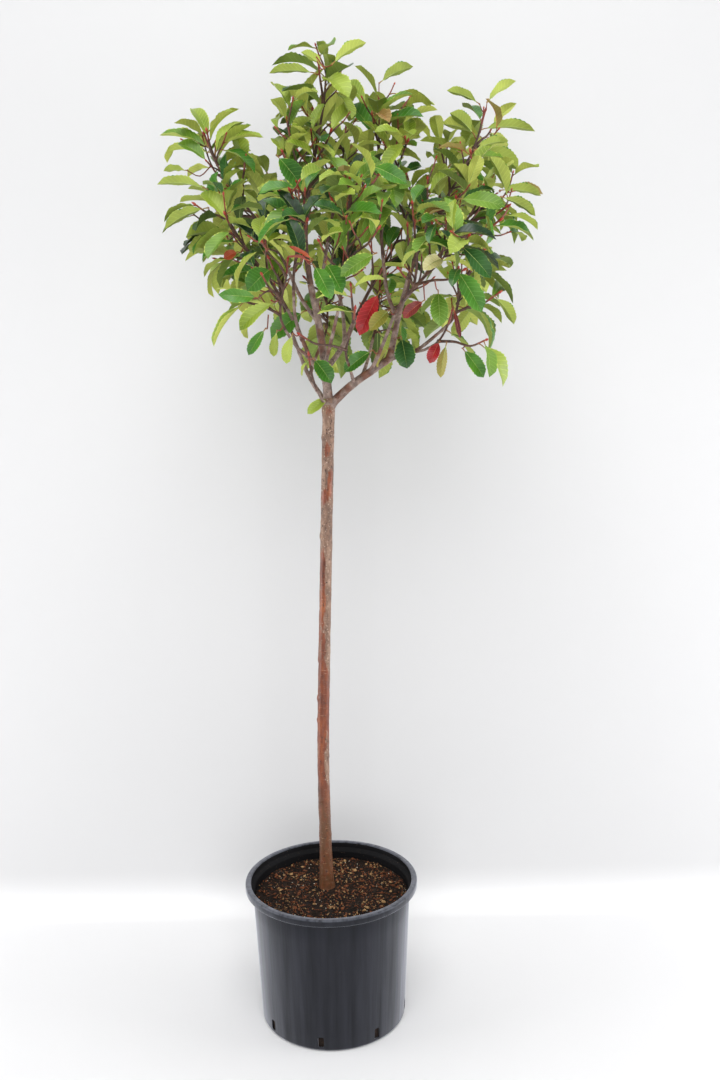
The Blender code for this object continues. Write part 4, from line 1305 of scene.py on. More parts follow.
placed = {
    "twigRadius": 0.0009,
    "clearAcross": 0.018,
    # how squarely the top or the underside is turned to the camera; the rest of the way is up
    "faceOn": {"top": 0.72, "under": -0.45},
    # tint, where the stalk starts, where the tip ends, width as a share of the length,
    # and the face that is seen
    "rows": (
        ("crimson", (0.1014, 0.0000, 1.2778), (0.0674, -0.0120, 1.2071), 0.37, "top"),
        ("olive", (0.1148, -0.0841, 1.2424), (0.0827, -0.1041, 1.2099), 0.46, "top"),
        ("maroon", (0.1675, -0.1190, 1.2546), (0.1350, -0.1190, 1.2281), 0.44, "top"),
        ("fresh", (0.1874, -0.1201, 1.2691), (0.1893, -0.1321, 1.2146), 0.50, "top"),
        ("crimson", (0.1938, -0.0725, 1.1937), (0.1774, -0.0765, 1.1595), 0.52, "top"),
        ("olive", (0.2039, -0.0837, 1.1916), (0.1942, -0.0837, 1.1373), 0.30, "under"),
        ("green", (0.2248, -0.1114, 1.1814), (0.2567, -0.1174, 1.1365), 0.42, "top"),
        ("deep", (0.1345, -0.0132, 1.2044), (0.1435, -0.0212, 1.1524), 0.64, "top"),
        ("olive", (0.1162, -0.0137, 1.1853), (0.0959, -0.0237, 1.1549), 0.56, "under"),
        ("green", (0.0878, -0.0455, 1.1819), (0.0422, -0.0555, 1.1477), 0.44, "top"),
        ("green", (-0.0220, -0.0059, 1.2475), (-0.0763, -0.0199, 1.2029), 0.48, "top"),
        ("green", (-0.0670, -0.0972, 1.3082), (-0.1039, -0.1112, 1.2731), 0.66, "top"),
        ("cream", (0.1945, -0.1296, 1.3141), (0.1622, -0.1596, 1.2942), 0.50, "top"),
        ("orange", (-0.0002, -0.1812, 1.3106), (-0.0342, -0.1912, 1.3285), 0.17, "top"),
        ("maroon", (-0.0017, -0.1812, 1.3078), (-0.0376, -0.1912, 1.3131), 0.16, "under"),
        ("orange", (-0.1254, -0.0350, 1.3399), (-0.1472, -0.0430, 1.3286), 0.60, "top"),
        ("maroon", (0.2135, -0.0840, 1.2469), (0.2244, -0.0840, 1.1975), 0.16, "top"),
        ("green", (-0.0783, -0.1063, 1.2171), (-0.1055, -0.1123, 1.1763), 0.36, "top"),
        ("green", (-0.0642, -0.0682, 1.2153), (-0.0697, -0.0742, 1.1747), 0.36, "under"),
        ("green", (-0.0339, -0.1536, 1.2071), (-0.0437, -0.1616, 1.1626), 0.38, "under"),
        ("green", (-0.0092, -0.0436, 1.1709), (0.0193, -0.0536, 1.1306), 0.58, "top"),
        ("lime", (0.0142, -0.0041, 1.1055), (-0.0209, -0.0141, 1.0800), 0.40, "top"),
        ("green", (-0.0005, -0.1766, 1.3054), (0.0252, -0.1886, 1.2539), 0.44, "top"),
        ("green", (0.0169, -0.1646, 1.3091), (0.0414, -0.1826, 1.2626), 0.52, "top"),
        ("fresh", (0.0938, -0.1749, 1.3197), (0.0405, -0.1909, 1.2848), 0.36, "top"),
        ("deep", (0.2168, -0.1651, 1.3302), (0.2598, -0.1771, 1.2809), 0.40, "top"),
        ("green", (0.2103, -0.1708, 1.2952), (0.2457, -0.1848, 1.2317), 0.42, "top"),
        ("green", (0.2828, -0.0435, 1.2638), (0.3129, -0.0475, 1.2192), 0.40, "under"),
        ("green", (-0.0604, -0.0339, 1.4873), (-0.0171, -0.0459, 1.4301), 0.44, "top"),
        ("green", (0.0870, -0.1716, 1.4430), (0.1369, -0.1856, 1.4146), 0.42, "top"),
        ("green", (-0.2082, 0.0202, 1.4753), (-0.2621, 0.0202, 1.4731), 0.38, "under"),
        ("green", (-0.1671, -0.0528, 1.4330), (-0.2452, -0.0528, 1.4403), 0.27, "under"),
        ("green", (-0.1689, -0.0357, 1.4083), (-0.2386, -0.0357, 1.3757), 0.30, "under"),
        ("green", (0.2902, -0.0440, 1.4254), (0.3549, -0.0440, 1.4152), 0.34, "under"),
        ("green", (0.2851, -0.0942, 1.4085), (0.3368, -0.0982, 1.3775), 0.36, "under"),
        ("fresh", (0.2200, -0.0856, 1.4079), (0.2911, -0.0956, 1.3934), 0.36, "top"),
        ("fresh", (0.0317, -0.0919, 1.6043), (0.0834, -0.0919, 1.6332), 0.36, "under"),
        ("green", (0.0193, -0.0797, 1.6020), (-0.0150, -0.0797, 1.6255), 0.38, "under"),
        ("green", (0.0061, -0.0532, 1.6020), (-0.0648, -0.0532, 1.6017), 0.28, "under"),
        ("green", (0.1044, 0.0060, 1.6009), (0.1590, 0.0060, 1.6242), 0.38, "under"),
        ("green", (0.2675, 0.0210, 1.5699), (0.2143, 0.0210, 1.5907), 0.32, "under"),
        ("fresh", (0.2788, 0.0210, 1.5728), (0.3255, 0.0210, 1.6042), 0.34, "under"),
        ("green", (0.2710, 0.0370, 1.5348), (0.3578, 0.0370, 1.5287), 0.27, "under"),
        ("green", (0.2589, 0.0307, 1.5259), (0.2198, 0.0307, 1.5591), 0.50, "under"),
        ("green", (0.2482, -0.0673, 1.4818), (0.3007, -0.0673, 1.4942), 0.32, "under"),
    ),
}
spurs = []


def nearestWood(place):
    paths = [twig["path"] for twigs in grownTwigs.values() for twig in twigs]
    paths += [limb["path"] for limb in limbs.values()]
    points = [pointAtShare(path, k / 16)[0] for path in paths for k in range(17)]
    return min(points, key=lambda point: (point - place).length)


def awayFromSight(point, mark):
    # how far a point is from the line of sight to a mark, and how far along that line it is
    sight = mark - eye
    share = (point - eye).dot(sight) / sight.length_squared
    return (eye + sight * share - point).length, share


def placeLeaf(tint, foot, tip, width, face):
    foot = Vector(foot)
    span = Vector(tip) - foot
    length = span.length / math.sqrt(0.97 - leaves["bend"] ** 2)
    share = placed["faceOn"][face]
    towards = (eye - foot).normalized() * share + Vector((0, 0, 1 - abs(share)))
    up = (towards - span * towards.dot(span) / span.length_squared).normalized()
    along = (span + up * leaves["bend"] * length).normalized()
    up = (up - along * up.dot(along)).normalized()
    leaf = leafShape(foot, along, up, length, length * width, leaves["bend"], leaves["fold"])
    leaf.update({"order": 2, "twig": ("placed", len(spurs)), "tint": tint})
    tree = leafTree(leaf)
    shown = [leaf["middle"], leaf["middle"].lerp(leaf["tip"], 0.5)]

    def inTheWay(other, otherTree):
        if other["twig"][0] == "placed":
            return False
        if (other["middle"] - leaf["middle"]).length < leaves["nearby"] and tree.overlap(otherTree):
            return True
        for corner in ("middle", "tip", "left", "right"):
            for mark in shown:
                away, along = awayFromSight(other[corner], mark)
                if along < 1 and away < placed["clearAcross"]:
                    return True
        return False

    kept = [row for row in grownLeaves if not inTheWay(*row)]
    grownLeaves[:] = kept + [(leaf, tree)]
    base = nearestWood(foot)
    rise = Vector((0, 0, 0.3 * (foot - base).length))
    spurs.append((smoothPath([base, base.lerp(foot, 0.5) - rise, foot], 6), placed["twigRadius"]))


def dropBareShoots():
    # a finer shoot that lost all its leaves to the placed ones goes too
    leafy = {leaf["twig"] for leaf, _ in grownLeaves}
    for name, twigs in grownTwigs.items():
        for index, twig in enumerate(twigs):
            twig["bare"] = twig.get("finer", False) and (name, index) not in leafy


for row in placed["rows"]:
    placeLeaf(*row)
dropBareShoots()
print("placed leaves", len(spurs), "of", len(placed["rows"]))


# limbs: each starts as a cylinder, is cut into rings, and is then drawn along its path

def cutIntoRings(piece, parts):
    # only the edges that run along the limb are divided
    bpy.ops.object.mode_set(mode="EDIT")
    bpy.ops.mesh.select_mode(type="EDGE")
    bpy.ops.mesh.select_all(action="DESELECT")
    bpy.ops.object.mode_set(mode="OBJECT")
    for edge in piece.data.edges:
        a, b = (piece.data.vertices[v].co for v in edge.vertices)
        edge.select = abs(a.z - b.z) > 0.001
    bpy.ops.object.mode_set(mode="EDIT")
    bpy.ops.mesh.subdivide(number_cuts=parts - 1)
    bpy.ops.object.mode_set(mode="OBJECT")


def limbFromCylinder(name, path, sides, rings, reliefAt):
    # path points are evenly spaced; reliefAt gives the radius from the share, angle and place
    deselectAll()
    bpy.ops.mesh.primitive_cylinder_add(vertices=sides, radius=1, depth=1, location=(0, 0, 0.5))
    piece = settle(bpy.context.object, name)
    cutIntoRings(piece, rings // bark["firstCut"])
    cutIntoRings(piece, bark["firstCut"])
    spots = [tuple(p) for p in path]
    acrossRows, otherRows, across = [], [], directionAt(path, 0).orthogonal().normalized()
    for i in range(len(path)):
        along = directionAt(path, i)
        across = (across - along * across.dot(along)).normalized()
        acrossRows.append(tuple(across))
        otherRows.append(tuple(along.cross(across)))
    spots, acrossRows, otherRows = np.array(spots), np.array(acrossRows), np.array(otherRows)
    points = meshPoints(piece)
    row = np.rint(points[:, 2] * rings).astype(int)
    angle = np.arctan2(points[:, 1], points[:, 0])
    outward = acrossRows[row] * np.cos(angle)[:, None] + otherRows[row] * np.sin(angle)[:, None]
    radius = reliefAt(row / rings, angle, spots[row], outward)
    setPoints(piece, spots[row] + outward * radius[:, None])
    pickOnly(piece)
    bpy.ops.object.shade_smooth_by_angle(angle=math.radians(45))
    return piece


def fieldNoise(points, scale, seed=0.0):
    return np.array([noise.noise(Vector((x * scale[0] + seed, y * scale[1], z * scale[2])))
                     for x, y, z in points])


bark = {
    # rings are cut in two steps, so their number is a multiple of the first cut
    "firstCut": 10,
    "trunkSides": 64,
    "trunkRings": 760,
    "boughSides": 28,
    "boughRingLength": 0.0011,
    "wave": 0.00035,
    "ridge": 0.00028,
    "grain": 0.00014,
    # old bud and shoot scars on the stem: height, way it faces in degrees, size, how proud it stands
    "knots": ((1.085, 215, 0.0050, 0.0022), (1.040, 200, 0.0042, 0.0018), (0.872, 190, 0.0045, 0.0020),
              (0.655, 195, 0.0042, 0.0018), (0.585, 185, 0.0048, 0.0026), (0.545, 170, 0.0036, 0.0022),
              (0.960, 20, 0.0040, 0.0015), (0.760, 80, 0.0045, 0.0018), (0.480, 320, 0.0050, 0.0020),
              (0.400, 240, 0.0045, 0.0016), (0.330, 40, 0.0050, 0.0018), (0.690, 300, 0.0040, 0.0014)),
    # a long split, healed over: heights, facing, half width, depth
    "split": (0.925, 0.965, 275, 0.0011, 0.0009),
    # how red-brown the bark is: below this height it all is, above it in these patches,
    # given by height, facing, half height and half width in metres, and how much
    "redHeight": (0.60, 0.78),
    "patches": ((1.020, 262, 0.012, 0.0050, 0.9), (0.962, 300, 0.026, 0.0055, 1.1),
                (0.940, 236, 0.011, 0.0060, 1.1), (0.828, 228, 0.022, 0.0060, 1.0),
                (0.775, 238, 0.045, 0.0060, 1.0), (0.890, 60, 0.030, 0.0080, 0.7),
                (0.700, 338, 0.085, 0.0065, -1.1), (0.468, 316, 0.050, 0.0060, -1.3),
                (0.490, 206, 0.030, 0.0030, -0.8), (1.085, 270, 0.018, 0.0090, 0.4),
                (0.620, 120, 0.030, 0.007, -0.8), (1.060, 90, 0.020, 0.006, 0.6)),
    # rougher bark near the compost
    "footHeight": 0.05,
    "footRough": 0.0007,
    # the stem's last rings close in to this share of its radius, inside the fork
    "capRings": 12,
    "capRise": 0.010,
    "capShare": 0.30,
}


def trunkRelief(spots, outward):
    height = spots[:, 2]
    radius = np.array([stemRadius(z) for z in height])
    facing = np.arctan2(outward[:, 1], outward[:, 0])
    ring = np.stack([np.cos(facing), np.sin(facing), height], axis=1)
    radius += bark["wave"] * 2 * fieldNoise(ring, (1.1, 1.1, 38))
    marks = fieldNoise(ring, (3.2, 3.2, 520), 7.0)
    radius += bark["ridge"] * np.clip((marks - 0.12) * 4, 0, 1)
    radius += bark["grain"] * fieldNoise(ring, (7, 7, 260), 3.0)
    foot = np.exp(-(height - height.min()) / bark["footHeight"])
    radius += foot * bark["footRough"] * fieldNoise(ring, (2.4, 2.4, 120), 11.0)
    for at, degrees, size, rise in bark["knots"]:
        turn = np.angle(np.exp(1j * (facing - math.radians(degrees))))
        away = np.hypot((height - at) / size, turn * radius / size)
        radius += rise * np.exp(-away ** 2 * 1.4) - rise * 0.55 * np.exp(-away ** 2 * 9)
        radius += rise * 0.18 * np.exp(-((away - 1.15) / 0.22) ** 2)
    low, high, degrees, half, depth = bark["split"]
    turn = np.angle(np.exp(1j * (facing - math.radians(degrees)))) * radius
    wander = fieldNoise(np.stack([height, height * 0, height * 0], axis=1), (90, 1, 1), 5.0) * 0.0012
    inside = np.clip((height - low) / 0.006, 0, 1) * np.clip((high - height) / 0.006, 0, 1)
    groove = np.exp(-((turn - wander) / half) ** 2)
    lips = np.exp(-((np.abs(turn - wander) - 2.2 * half) / half) ** 2)
    radius += inside * (0.5 * depth * lips - depth * groove)
    return radius


def stainStem(piece):
    points = meshPoints(piece)
    middles = np.array([tuple(p) for p in trunkPath(200)])
    row = np.clip(np.searchsorted(middles[:, 2], points[:, 2]), 0, 200)
    facing = np.arctan2(points[:, 1] - middles[row, 1], points[:, 0] - middles[row, 0])
    low, high = bark["redHeight"]
    stain = 1 - np.clip((points[:, 2] - low) / (high - low), 0, 1)
    for height, degrees, halfHeight, halfWidth, amount in bark["patches"]:
        turn = np.angle(np.exp(1j * (facing - math.radians(degrees)))) * trunk["radius"]
        rise = (points[:, 2] - height) / halfHeight
        stain += amount * np.exp(-rise ** 2 - (turn / halfWidth) ** 2)
    layer = piece.data.attributes.new("stain", "FLOAT", "POINT")
    layer.data.foreach_set("value", stain)


def makeTrunk(material):
    rings, cap = bark["trunkRings"], bark["capRings"]
    body = trunkPath(rings - cap)
    along = directionAt(body, len(body) - 1)
    head = body[-1]
    for k in range(1, cap + 1):
        body.append(head + along * bark["capRise"] * k / cap)

    def relief(share, angle, spots, outward):
        radius = trunkRelief(spots, outward)
        over = np.clip((share * rings - (rings - cap)) / cap, 0, 1)
        return radius * (1 - (1 - bark["capShare"]) * over ** 2.2)

    piece = limbFromCylinder("trunkStem", body, bark["trunkSides"], rings, relief)
    stainStem(piece)
    piece.data.materials.append(material)
    declare(piece, "trunk_bark", "trunk")


# each limb hangs on its parent, so its foot is spread into a collar there; a ring scar marks each
# year's start, and old leaf scars lie between the rings
boughRelief = {
    "collarSwell": 0.38,
    "collarLength": 0.011,
    "endLength": 0.006,
    "wave": 0.00035,
    "grain": 0.00018,
    "yearLength": 0.034,
    "yearRise": 0.0004,
    "yearWidth": 0.0011,
    "scarPitch": 0.010,
    "scarRise": 0.0006,
    "scarHeight": 0.0012,
    "scarWidth": 0.0016,
}


def makeBoughs(material):
    pieces = []
    leafyBoughs = {mass[0] for mass in masses.values()}
    for name, bough in boughs.items():
        start, end = bough["radii"]
        length = pathLength(limbs[name]["path"])
        rings = round(length / bark["boughRingLength"] / bark["firstCut"]) * bark["firstCut"]
        path = smoothPath(bough["points"], rings)
        seed = len(pieces) * 3.7

        def relief(share, angle, spots, outward):
            sizes = boughRelief
            along = share * length
            radius = start + (end - start) * share
            radius = radius * (1 + sizes["collarSwell"] * np.exp(-(along / sizes["collarLength"]) ** 2))
            if name not in leafyBoughs:
                over = np.clip(1 - (length - along) / sizes["endLength"], 0, 1)
                radius = radius * np.sqrt(np.clip(1 - over ** 2, 0.04, 1))
            ring = np.stack([np.cos(angle) + seed, np.sin(angle), along], axis=1)
            radius += sizes["wave"] * fieldNoise(ring, (1.3, 1.3, 90))
            radius += sizes["grain"] * fieldNoise(ring, (4, 4, 420), 2.0)
            year = np.abs(((along / sizes["yearLength"] + seed) % 1) - 0.5) * sizes["yearLength"]
            radius += sizes["yearRise"] * np.exp(-(year / sizes["yearWidth"]) ** 2)
            steps = along / sizes["scarPitch"] + seed
            scars = (steps.astype(int) * goldenTurn + seed) % (2 * math.pi)
            turn = np.angle(np.exp(1j * (angle - scars))) * radius
            place = (steps % 1 - 0.5) * sizes["scarPitch"]
            radius += sizes["scarRise"] * np.exp(-(place / sizes["scarHeight"]) ** 2
                                                 - (turn / sizes["scarWidth"]) ** 2)
            return radius

        piece = limbFromCylinder(name + "Bark", path, bark["boughSides"], rings, relief)
        piece.data.materials.append(material)
        pieces.append(piece)
    joinPieces(pieces)
    pieces[0].name = "boughWood"
    declare(pieces[0], "bough_bark", *boughs)


makeTrunk(stemBark())
makeBoughs(boughBark())
print("trunk and boughs grown")


# arrays for everything that repeats by the hundred

class Pile:
    # points and faces of one kind, kept until they become one joined piece
    def __init__(self):
        self.points, self.faces, self.kinds, self.spread = [], [], [], []

    def add(self, points, faces, kinds=None, spread=None):
        base = len(self.points)
        self.points.extend(points)
        self.faces.extend(tuple(base + v for v in face) for face in faces)
        self.kinds.extend(kinds if kinds is not None else [0] * len(faces))
        if spread is not None:
            self.spread.extend(spread)

    def piece(self, name, slot, materials, nodes=(), sharpAngle=50):
        piece = pieceFromArrays(name, self.points, self.faces, materials, self.kinds, sharpAngle)
        if self.spread:
            layer = piece.data.uv_layers.new(name="leafSpread")
            corners = np.empty(len(piece.data.loops), dtype=np.int32)
            piece.data.loops.foreach_get("vertex_index", corners)
            layer.uv.foreach_set("vector", np.array(self.spread, float)[corners].ravel())
        declare(piece, slot, *nodes)


# each kind of shoot: rings, sides, radius at its tip, thicker at its foot by, taper power
wood = {
    "lead": (30, 8, 0.0016, 1.0, 1.5),
    "side": (18, 7, 0.0014, 1.45, 1.15),
    "finer": (8, 6, 0.0011, 1.25, 1.15),
    "footSwell": 1.35,
    "redLength": 0.015,
}


def makeTwigs():
    rng = random.Random("twig bark")
    woody, young = Pile(), Pile()
    for name, twigs in grownTwigs.items():
        boughTip = boughs[masses[name][0]]["radii"][1]
        for index, twig in enumerate(twigs):
            if twig["bare"]:
                continue
            kind = "lead" if index == 0 else "finer" if twig.get("finer", False) else "side"
            steps, sides, thin, thicker, power = wood[kind]
            path = smoothPath(twig["path"], steps)
            start = boughTip if kind == "lead" else twig["radius"] * thicker
            radii = []
            for i in range(steps + 1):
                radius = thin + (start - thin) * (1 - i / steps) ** power
                if index > 0 and i == 0:
                    radius *= wood["footSwell"]
                radii.append(radius * rng.uniform(0.95, 1.06))
            # this year's growth is red, and ends the shoot; below it the shoot is woody
            red = wood["redLength"] * rng.uniform(0.7, 1.3)
            joint = steps
            while joint > 0 and pathLength(path[joint:]) < red:
                joint -= 1
            young.add(*tube(path[joint:], radii[joint:], sides))
            if joint > 0:
                woody.add(*tube(path[:joint + 1], radii[:joint + 1], sides))
    for path, radius in spurs:
        young.add(*tube(path, [radius * (1.3 - 0.5 * i / (len(path) - 1)) for i in range(len(path))], 6))
    woody.piece("woodyShoots", "young_twig", [twigFinish("woodyShoot")])
    young.piece("youngShoots", "red_stalk", [twigFinish("youngShoot")])


blade = {
    "spans": 11,
    "start": 0.125,
    "widthShare": 0.93,
    "end": 0.985,
    "rise": (2.726, -3.804),
    "rootPower": 0.84,
    "tipPower": 0.56,
    "bendShare": 0.72,
    "tooth": 0.085,
    "toothForward": 0.62,
    "foldShare": 2.0,
    "thickness": 0.0008,
    "quilt": 0.00012,
    "puff": 0.00030,
    "wave": 0.0011,
    "twist": 0.30,
    "ribWidth": 0.0008,
    "ribRise": 0.0004,
    "stalkRadius": (0.00115, 0.0008),
}


def bladeFaces():
    # a station has middle, inner left and right, edge left and right, and underside middle
    spans = blade["spans"]
    last = spans - 1
    toothBase = 2 + 6 * last

    def at(k, which):
        return 2 + 6 * (k - 1) + which

    mid, innerL, innerR, edgeL, edgeR, under = range(6)
    faces, kinds = [], []
    for k in range(1, last):
        toothL, toothR = toothBase + 2 * (k - 1), toothBase + 2 * (k - 1) + 1
        n = k + 1
        faces.append((at(k, mid), at(k, innerR), at(n, innerR), at(n, mid)))
        faces.append((at(k, mid), at(n, mid), at(n, innerL), at(k, innerL)))
        faces.append((at(k, innerR), at(k, edgeR), toothR, at(n, edgeR), at(n, innerR)))
        faces.append((at(k, innerL), at(n, innerL), at(n, edgeL), toothL, at(k, edgeL)))
        faces.append((at(k, under), at(n, under), at(n, edgeR), toothR, at(k, edgeR)))
        faces.append((at(k, under), at(k, edgeL), toothL, at(n, edgeL), at(n, under)))
        kinds += [0, 0, 0, 0, 1, 1]
    faces += [(0, at(1, edgeR), at(1, innerR)), (0, at(1, innerR), at(1, mid)),
              (0, at(1, mid), at(1, innerL)), (0, at(1, innerL), at(1, edgeL)),
              (0, at(1, under), at(1, edgeR)), (0, at(1, edgeL), at(1, under))]
    kinds += [0, 0, 0, 0, 1, 1]
    faces += [(1, at(last, innerR), at(last, edgeR)), (1, at(last, mid), at(last, innerR)),
              (1, at(last, innerL), at(last, mid)), (1, at(last, edgeL), at(last, innerL)),
              (1, at(last, edgeR), at(last, under)), (1, at(last, under), at(last, edgeL))]
    kinds += [0, 0, 0, 0, 1, 1]
    return faces, kinds


leafFaces, leafKinds = bladeFaces()


def bladePlace(leaf, share, across, drop, look):
    # a place on the leaf: share along the blade, across from -1 to 1, drop under the top face
    t = blade["start"] + (blade["end"] - blade["start"]) * share
    a, b = blade["rise"]
    length, bend = leaf["length"], leaf["bend"] * blade["bendShare"]
    powers = share ** blade["rootPower"] * max(0.0, 1 - share) ** blade["tipPower"]
    half = blade["widthShare"] * leaf["width"] / 2 * powers / look["peak"]
    side = leaf["along"].cross(leaf["up"])
    turn = look["twist"] * (share - 0.35)
    across3 = side * math.cos(turn) + leaf["up"] * math.sin(turn)
    lift = (a * t + b * t * t) * bend * length
    fold = abs(across) * half * leaf["fold"] * blade["foldShare"]
    edge = 1 if across > 0 else -1
    wave = blade["wave"] * across * math.sin(look["waves"] * share + look["phase"] * (1 + edge))
    hook = look["hook"] * max(0.0, share - 0.72) ** 2 * length
    place = leaf["root"] + leaf["along"] * (t * length) + leaf["up"] * (lift + fold + wave - drop - hook)
    return place + across3 * (across * half)


def bladePoints(leaf, look):
    spans = blade["spans"]
    points = [bladePlace(leaf, 0.0, 0, 0, look), bladePlace(leaf, 1.0, 0, 0, look)]
    spread = [(0.5, 0.0), (0.5, 1.0)]
    for k in range(1, spans):
        share = k / spans
        quilt = blade["quilt"] * (1 if k % 2 else -1)
        puff = -quilt - blade["puff"]
        for across, drop in ((0, 0), (-0.5, puff), (0.5, puff), (-0.97, 0), (0.97, 0),
                             (0, blade["thickness"])):
            points.append(bladePlace(leaf, share, across, drop, look))
            spread.append((0.5 + across / 2, share))
    for k in range(1, spans - 1):
        share = (k + blade["toothForward"]) / spans
        for across in (-1 - blade["tooth"], 1 + blade["tooth"]):
            points.append(bladePlace(leaf, share, across, 0, look))
            spread.append((0.5 + across / 2, share))
    return points, spread


def bladeLook(rng):
    grid = np.linspace(0.01, 0.99, 99)
    peak = float((grid ** blade["rootPower"] * (1 - grid) ** blade["tipPower"]).max())
    return {
        "peak": peak,
        "twist": rng.uniform(-blade["twist"], blade["twist"]),
        "waves": rng.uniform(10, 17),
        "phase": rng.uniform(0, 6.28),
        "hook": rng.uniform(0.0, 0.25),
    }


def addStalk(leaf, look, stalks, ribs):
    base = bladePlace(leaf, 0.0, 0, 0, look)
    bow = leaf["root"].lerp(base, 0.5) + leaf["up"] * 0.0008
    path = smoothPath([leaf["root"], bow, base + (base - bow) * 0.25], 4)
    thick, thin = blade["stalkRadius"]
    stalks.add(*tube(path, [thick + (thin - thick) * i / 4 for i in range(5)], 5))
    steps = 7
    points, faces = [], []
    for i in range(steps + 1):
        share = 0.94 * i / steps
        half = blade["ribWidth"] * (1 - share) + 0.00012
        centre = bladePlace(leaf, share, 0, 0, look)
        side = leaf["along"].cross(leaf["up"])
        rise = blade["ribRise"] * (1 - 0.6 * share)
        points += [centre + leaf["up"] * rise, centre - side * half,
                   centre - leaf["up"] * (blade["thickness"] + rise), centre + side * half]
    for i in range(steps):
        for k in range(4):
            j = (k + 1) % 4
            faces.append((4 * i + k, 4 * i + j, 4 * i + 4 + j, 4 * i + 4 + k))
    faces += [(3, 2, 1, 0), tuple(4 * steps + k for k in range(4))]
    ribs.add(points, faces)


# leaf colours: top face deep, middle and pale, underside, roughness of the top face
leafColours = {
    "lime": ((112, 136, 34), (134, 154, 48), (154, 172, 72), (178, 186, 84), 0.42, "new_leaf"),
    "fresh": ((78, 114, 26), (98, 134, 38), (118, 152, 56), (166, 178, 78), 0.38, "new_leaf"),
    "green": ((40, 88, 17), (58, 110, 24), (80, 130, 38), (146, 160, 66), 0.33, "green_leaf"),
    "deep": ((20, 56, 15), (32, 74, 20), (50, 98, 34), (112, 132, 52), 0.29, "green_leaf"),
    "shade": ((10, 32, 11), (17, 45, 16), (32, 66, 29), (70, 90, 34), 0.28, "green_leaf"),
    "olive": ((92, 96, 26), (116, 116, 38), (140, 130, 56), (148, 140, 66), 0.40, "green_leaf"),
    "orange": ((134, 44, 22), (158, 64, 34), (174, 92, 54), (168, 90, 58), 0.42, "red_leaf"),
    "crimson": ((132, 16, 24), (168, 28, 34), (190, 52, 52), (180, 62, 56), 0.36, "red_leaf"),
    "maroon": ((84, 22, 24), (112, 36, 34), (140, 58, 48), (140, 70, 58), 0.40, "red_leaf"),
    "bronze": ((122, 96, 46), (146, 116, 60), (162, 138, 78), (164, 146, 82), 0.44, "red_leaf"),
    "cream": ((206, 196, 130), (220, 212, 156), (230, 224, 182), (220, 212, 166), 0.5, "new_leaf"),
}

redTints = ("orange", "crimson", "maroon", "bronze")

# shares of each colour among the sprays, from the foot of the crown to its top
crownTints = {
    "heights": (1.20, 1.38, 1.52),
    "low": (("deep", 0.30), ("shade", 0.22), ("green", 0.36), ("fresh", 0.12)),
    "middle": (("green", 0.32), ("deep", 0.24), ("fresh", 0.24), ("lime", 0.08), ("shade", 0.12)),
    "high": (("fresh", 0.38), ("lime", 0.28), ("green", 0.22), ("deep", 0.12)),
    "bronzeTips": 0.07,
    "bronzeHeight": 1.36,
    "middleOf": (0.05, 0.0, 1.37),
    "reach": (0.30, 0.25, 0.27),
    # leaves nearer the middle of the crown than this are dealt one tint darker: partly real shade leaves,
    # partly painted shade
    "inner": 0.52,
    "leafTurns": 0.34,
}


def pickTint(rows, value):
    for tint, share in rows:
        value -= share
        if value <= 0:
            return tint
    return rows[-1][0]


tintOrder = ("shade", "deep", "green", "fresh", "lime")


def innerShare(place):
    # 0 in the middle of the crown, about 1 at its outside
    parts = zip(place, crownTints["middleOf"], crownTints["reach"])
    return math.sqrt(sum(((here - middle) / reach) ** 2 for here, middle, reach in parts))


def bandAt(height):
    low, middle, high = crownTints["heights"]
    if height < (low + middle) / 2:
        return "low"
    return "middle" if height < (middle + high) / 2 else "high"


def dealTints():
    # a spray gets one tint; a leaf on it may be one step older or younger, youngest at the tip, and a leaf
    # inside the crown is one step darker, partly as a real shade leaf and partly as painted shade
    rng = random.Random("leaf tints")
    sprays = {}
    for leaf, _ in grownLeaves:
        if "tint" in leaf:
            continue
        if leaf["twig"] not in sprays:
            band = bandAt(leaf["root"].z + rng.uniform(-0.05, 0.05))
            sprays[leaf["twig"]] = pickTint(crownTints[band], rng.uniform(0, 1))
        tint = sprays[leaf["twig"]]
        step = tintOrder.index(tint)
        if leaf["order"] <= 1:
            step += 1
        # painted shade, partly real: a leaf inside the crown takes the next darker tint
        if innerShare(leaf["middle"]) < crownTints["inner"]:
            step -= 1
        if rng.uniform(0, 1) < crownTints["leafTurns"]:
            step += rng.choice((-1, 1))
        leaf["tint"] = tintOrder[max(0, min(len(tintOrder) - 1, step))]
        first = leaf["order"] == 0 and leaf["root"].z > crownTints["bronzeHeight"]
        if first and rng.uniform(0, 1) < crownTints["bronzeTips"]:
            leaf["tint"] = "bronze"


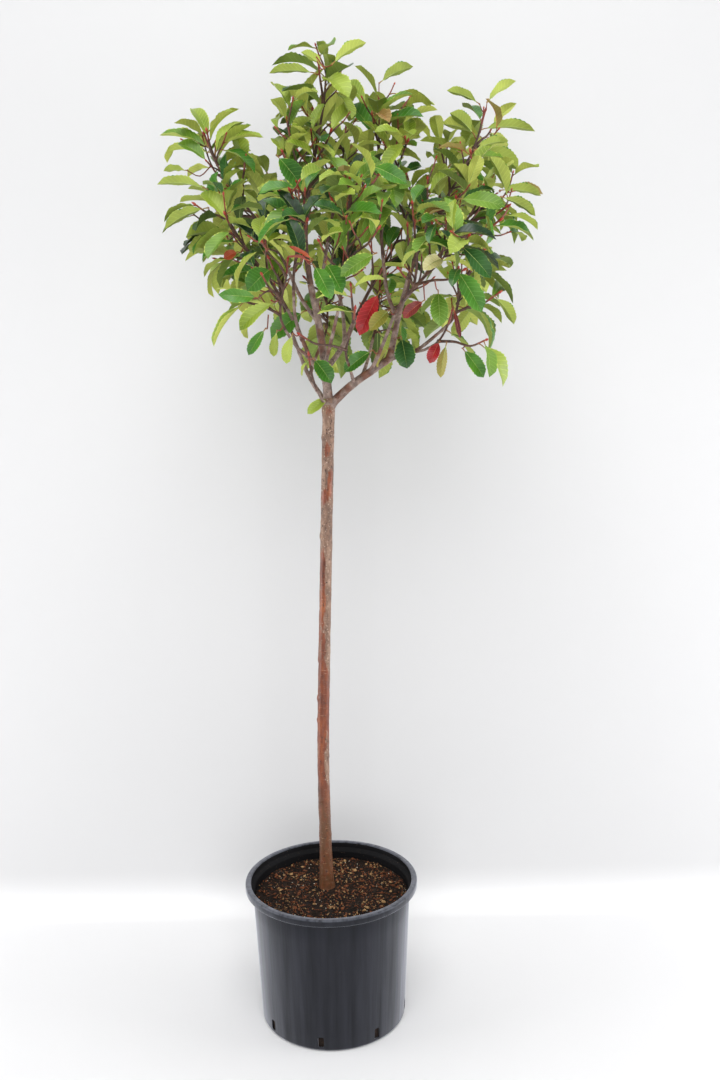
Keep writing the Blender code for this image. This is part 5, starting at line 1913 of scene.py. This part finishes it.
def makeLeaves():
    rng = random.Random("blades")
    piles = {tint: Pile() for tint in leafColours}
    stalks, ribs, redRibs = Pile(), Pile(), Pile()
    for leaf, _ in grownLeaves:
        look = bladeLook(rng)
        points, spread = bladePoints(leaf, look)
        while not withinBox(points):
            # a leaf at the edge of the crown is a little smaller and flatter
            for part in ("length", "width", "bend"):
                leaf[part] *= 0.95
            points, spread = bladePoints(leaf, look)
        piles[leaf["tint"]].add(points, leafFaces, leafKinds, spread)
        addStalk(leaf, look, stalks, redRibs if leaf["tint"] in redTints else ribs)
    for tint, (deep, middle, pale, underside, roughness, slot) in leafColours.items():
        if not piles[tint].faces:
            continue
        top = leafFinish(tint + "Leaf", *(photoColour(*c) for c in (deep, middle, pale)), roughness, 0.45)
        shades = [photoColour(*(c * k for c in underside)) for k in (0.90, 1.0, 1.07)]
        low = leafFinish(tint + "Underside", *shades, 0.62, 0.30, 0.5)
        given = tuple(masses) if tint == "green" else ()
        piles[tint].piece(tint + "Leaves", slot, [top, low], given)
    stalks.piece("leafStalks", "red_stalk", [twigFinish("leafStalk")])
    ribs.piece("leafRibs", "green_leaf", [twigFinish("leafRib")], sharpAngle=80)
    redRibs.piece("redLeafRibs", "red_leaf", [twigFinish("redLeafRib")], sharpAngle=80)


buds = {
    "length": (0.0060, 0.0095),
    "radius": 0.0023,
    "finerSize": 0.7,
    "sideLength": 0.0034,
    "sideRadius": 0.0009,
    "point": 0.00025,
    # share of the length, and of the radius there
    "rings": ((0.0, 0.55), (0.25, 1.0), (0.55, 0.85), (0.8, 0.45)),
}


def makeBuds():
    # a red pointed bud ends each shoot, and a small one sits above each leaf stalk
    rng = random.Random("buds")
    pile, small = Pile(), Pile()

    def bud(spot, along, length, radius, into):
        path = [spot + along * length * at for at, _ in buds["rings"]] + [spot + along * length]
        radii = [radius * share for _, share in buds["rings"]] + [buds["point"]]
        into.add(*tube(path, radii, 7))

    for name, twigs in grownTwigs.items():
        for twig in twigs:
            if twig["bare"]:
                continue
            tip = twig["path"][-1]
            along = directionAt(twig["path"], len(twig["path"]) - 1)
            size = buds["finerSize"] if twig.get("finer", False) else 1.0
            bud(tip, along, rng.uniform(*buds["length"]) * size, buds["radius"] * size, pile)
    for leaf, _ in grownLeaves:
        lean = (leaf["along"] * 0.5 + leaf["up"]).normalized()
        bud(leaf["root"] + lean * 0.0008, lean, buds["sideLength"], buds["sideRadius"], small)
    pile.piece("tipBuds", "red_leaf", [twigFinish("tipBud")])
    small.piece("sideBuds", "red_stalk", [twigFinish("sideBud")])


makeTwigs()
dealTints()
makeLeaves()
makeBuds()
print("shoots, leaves and buds made")
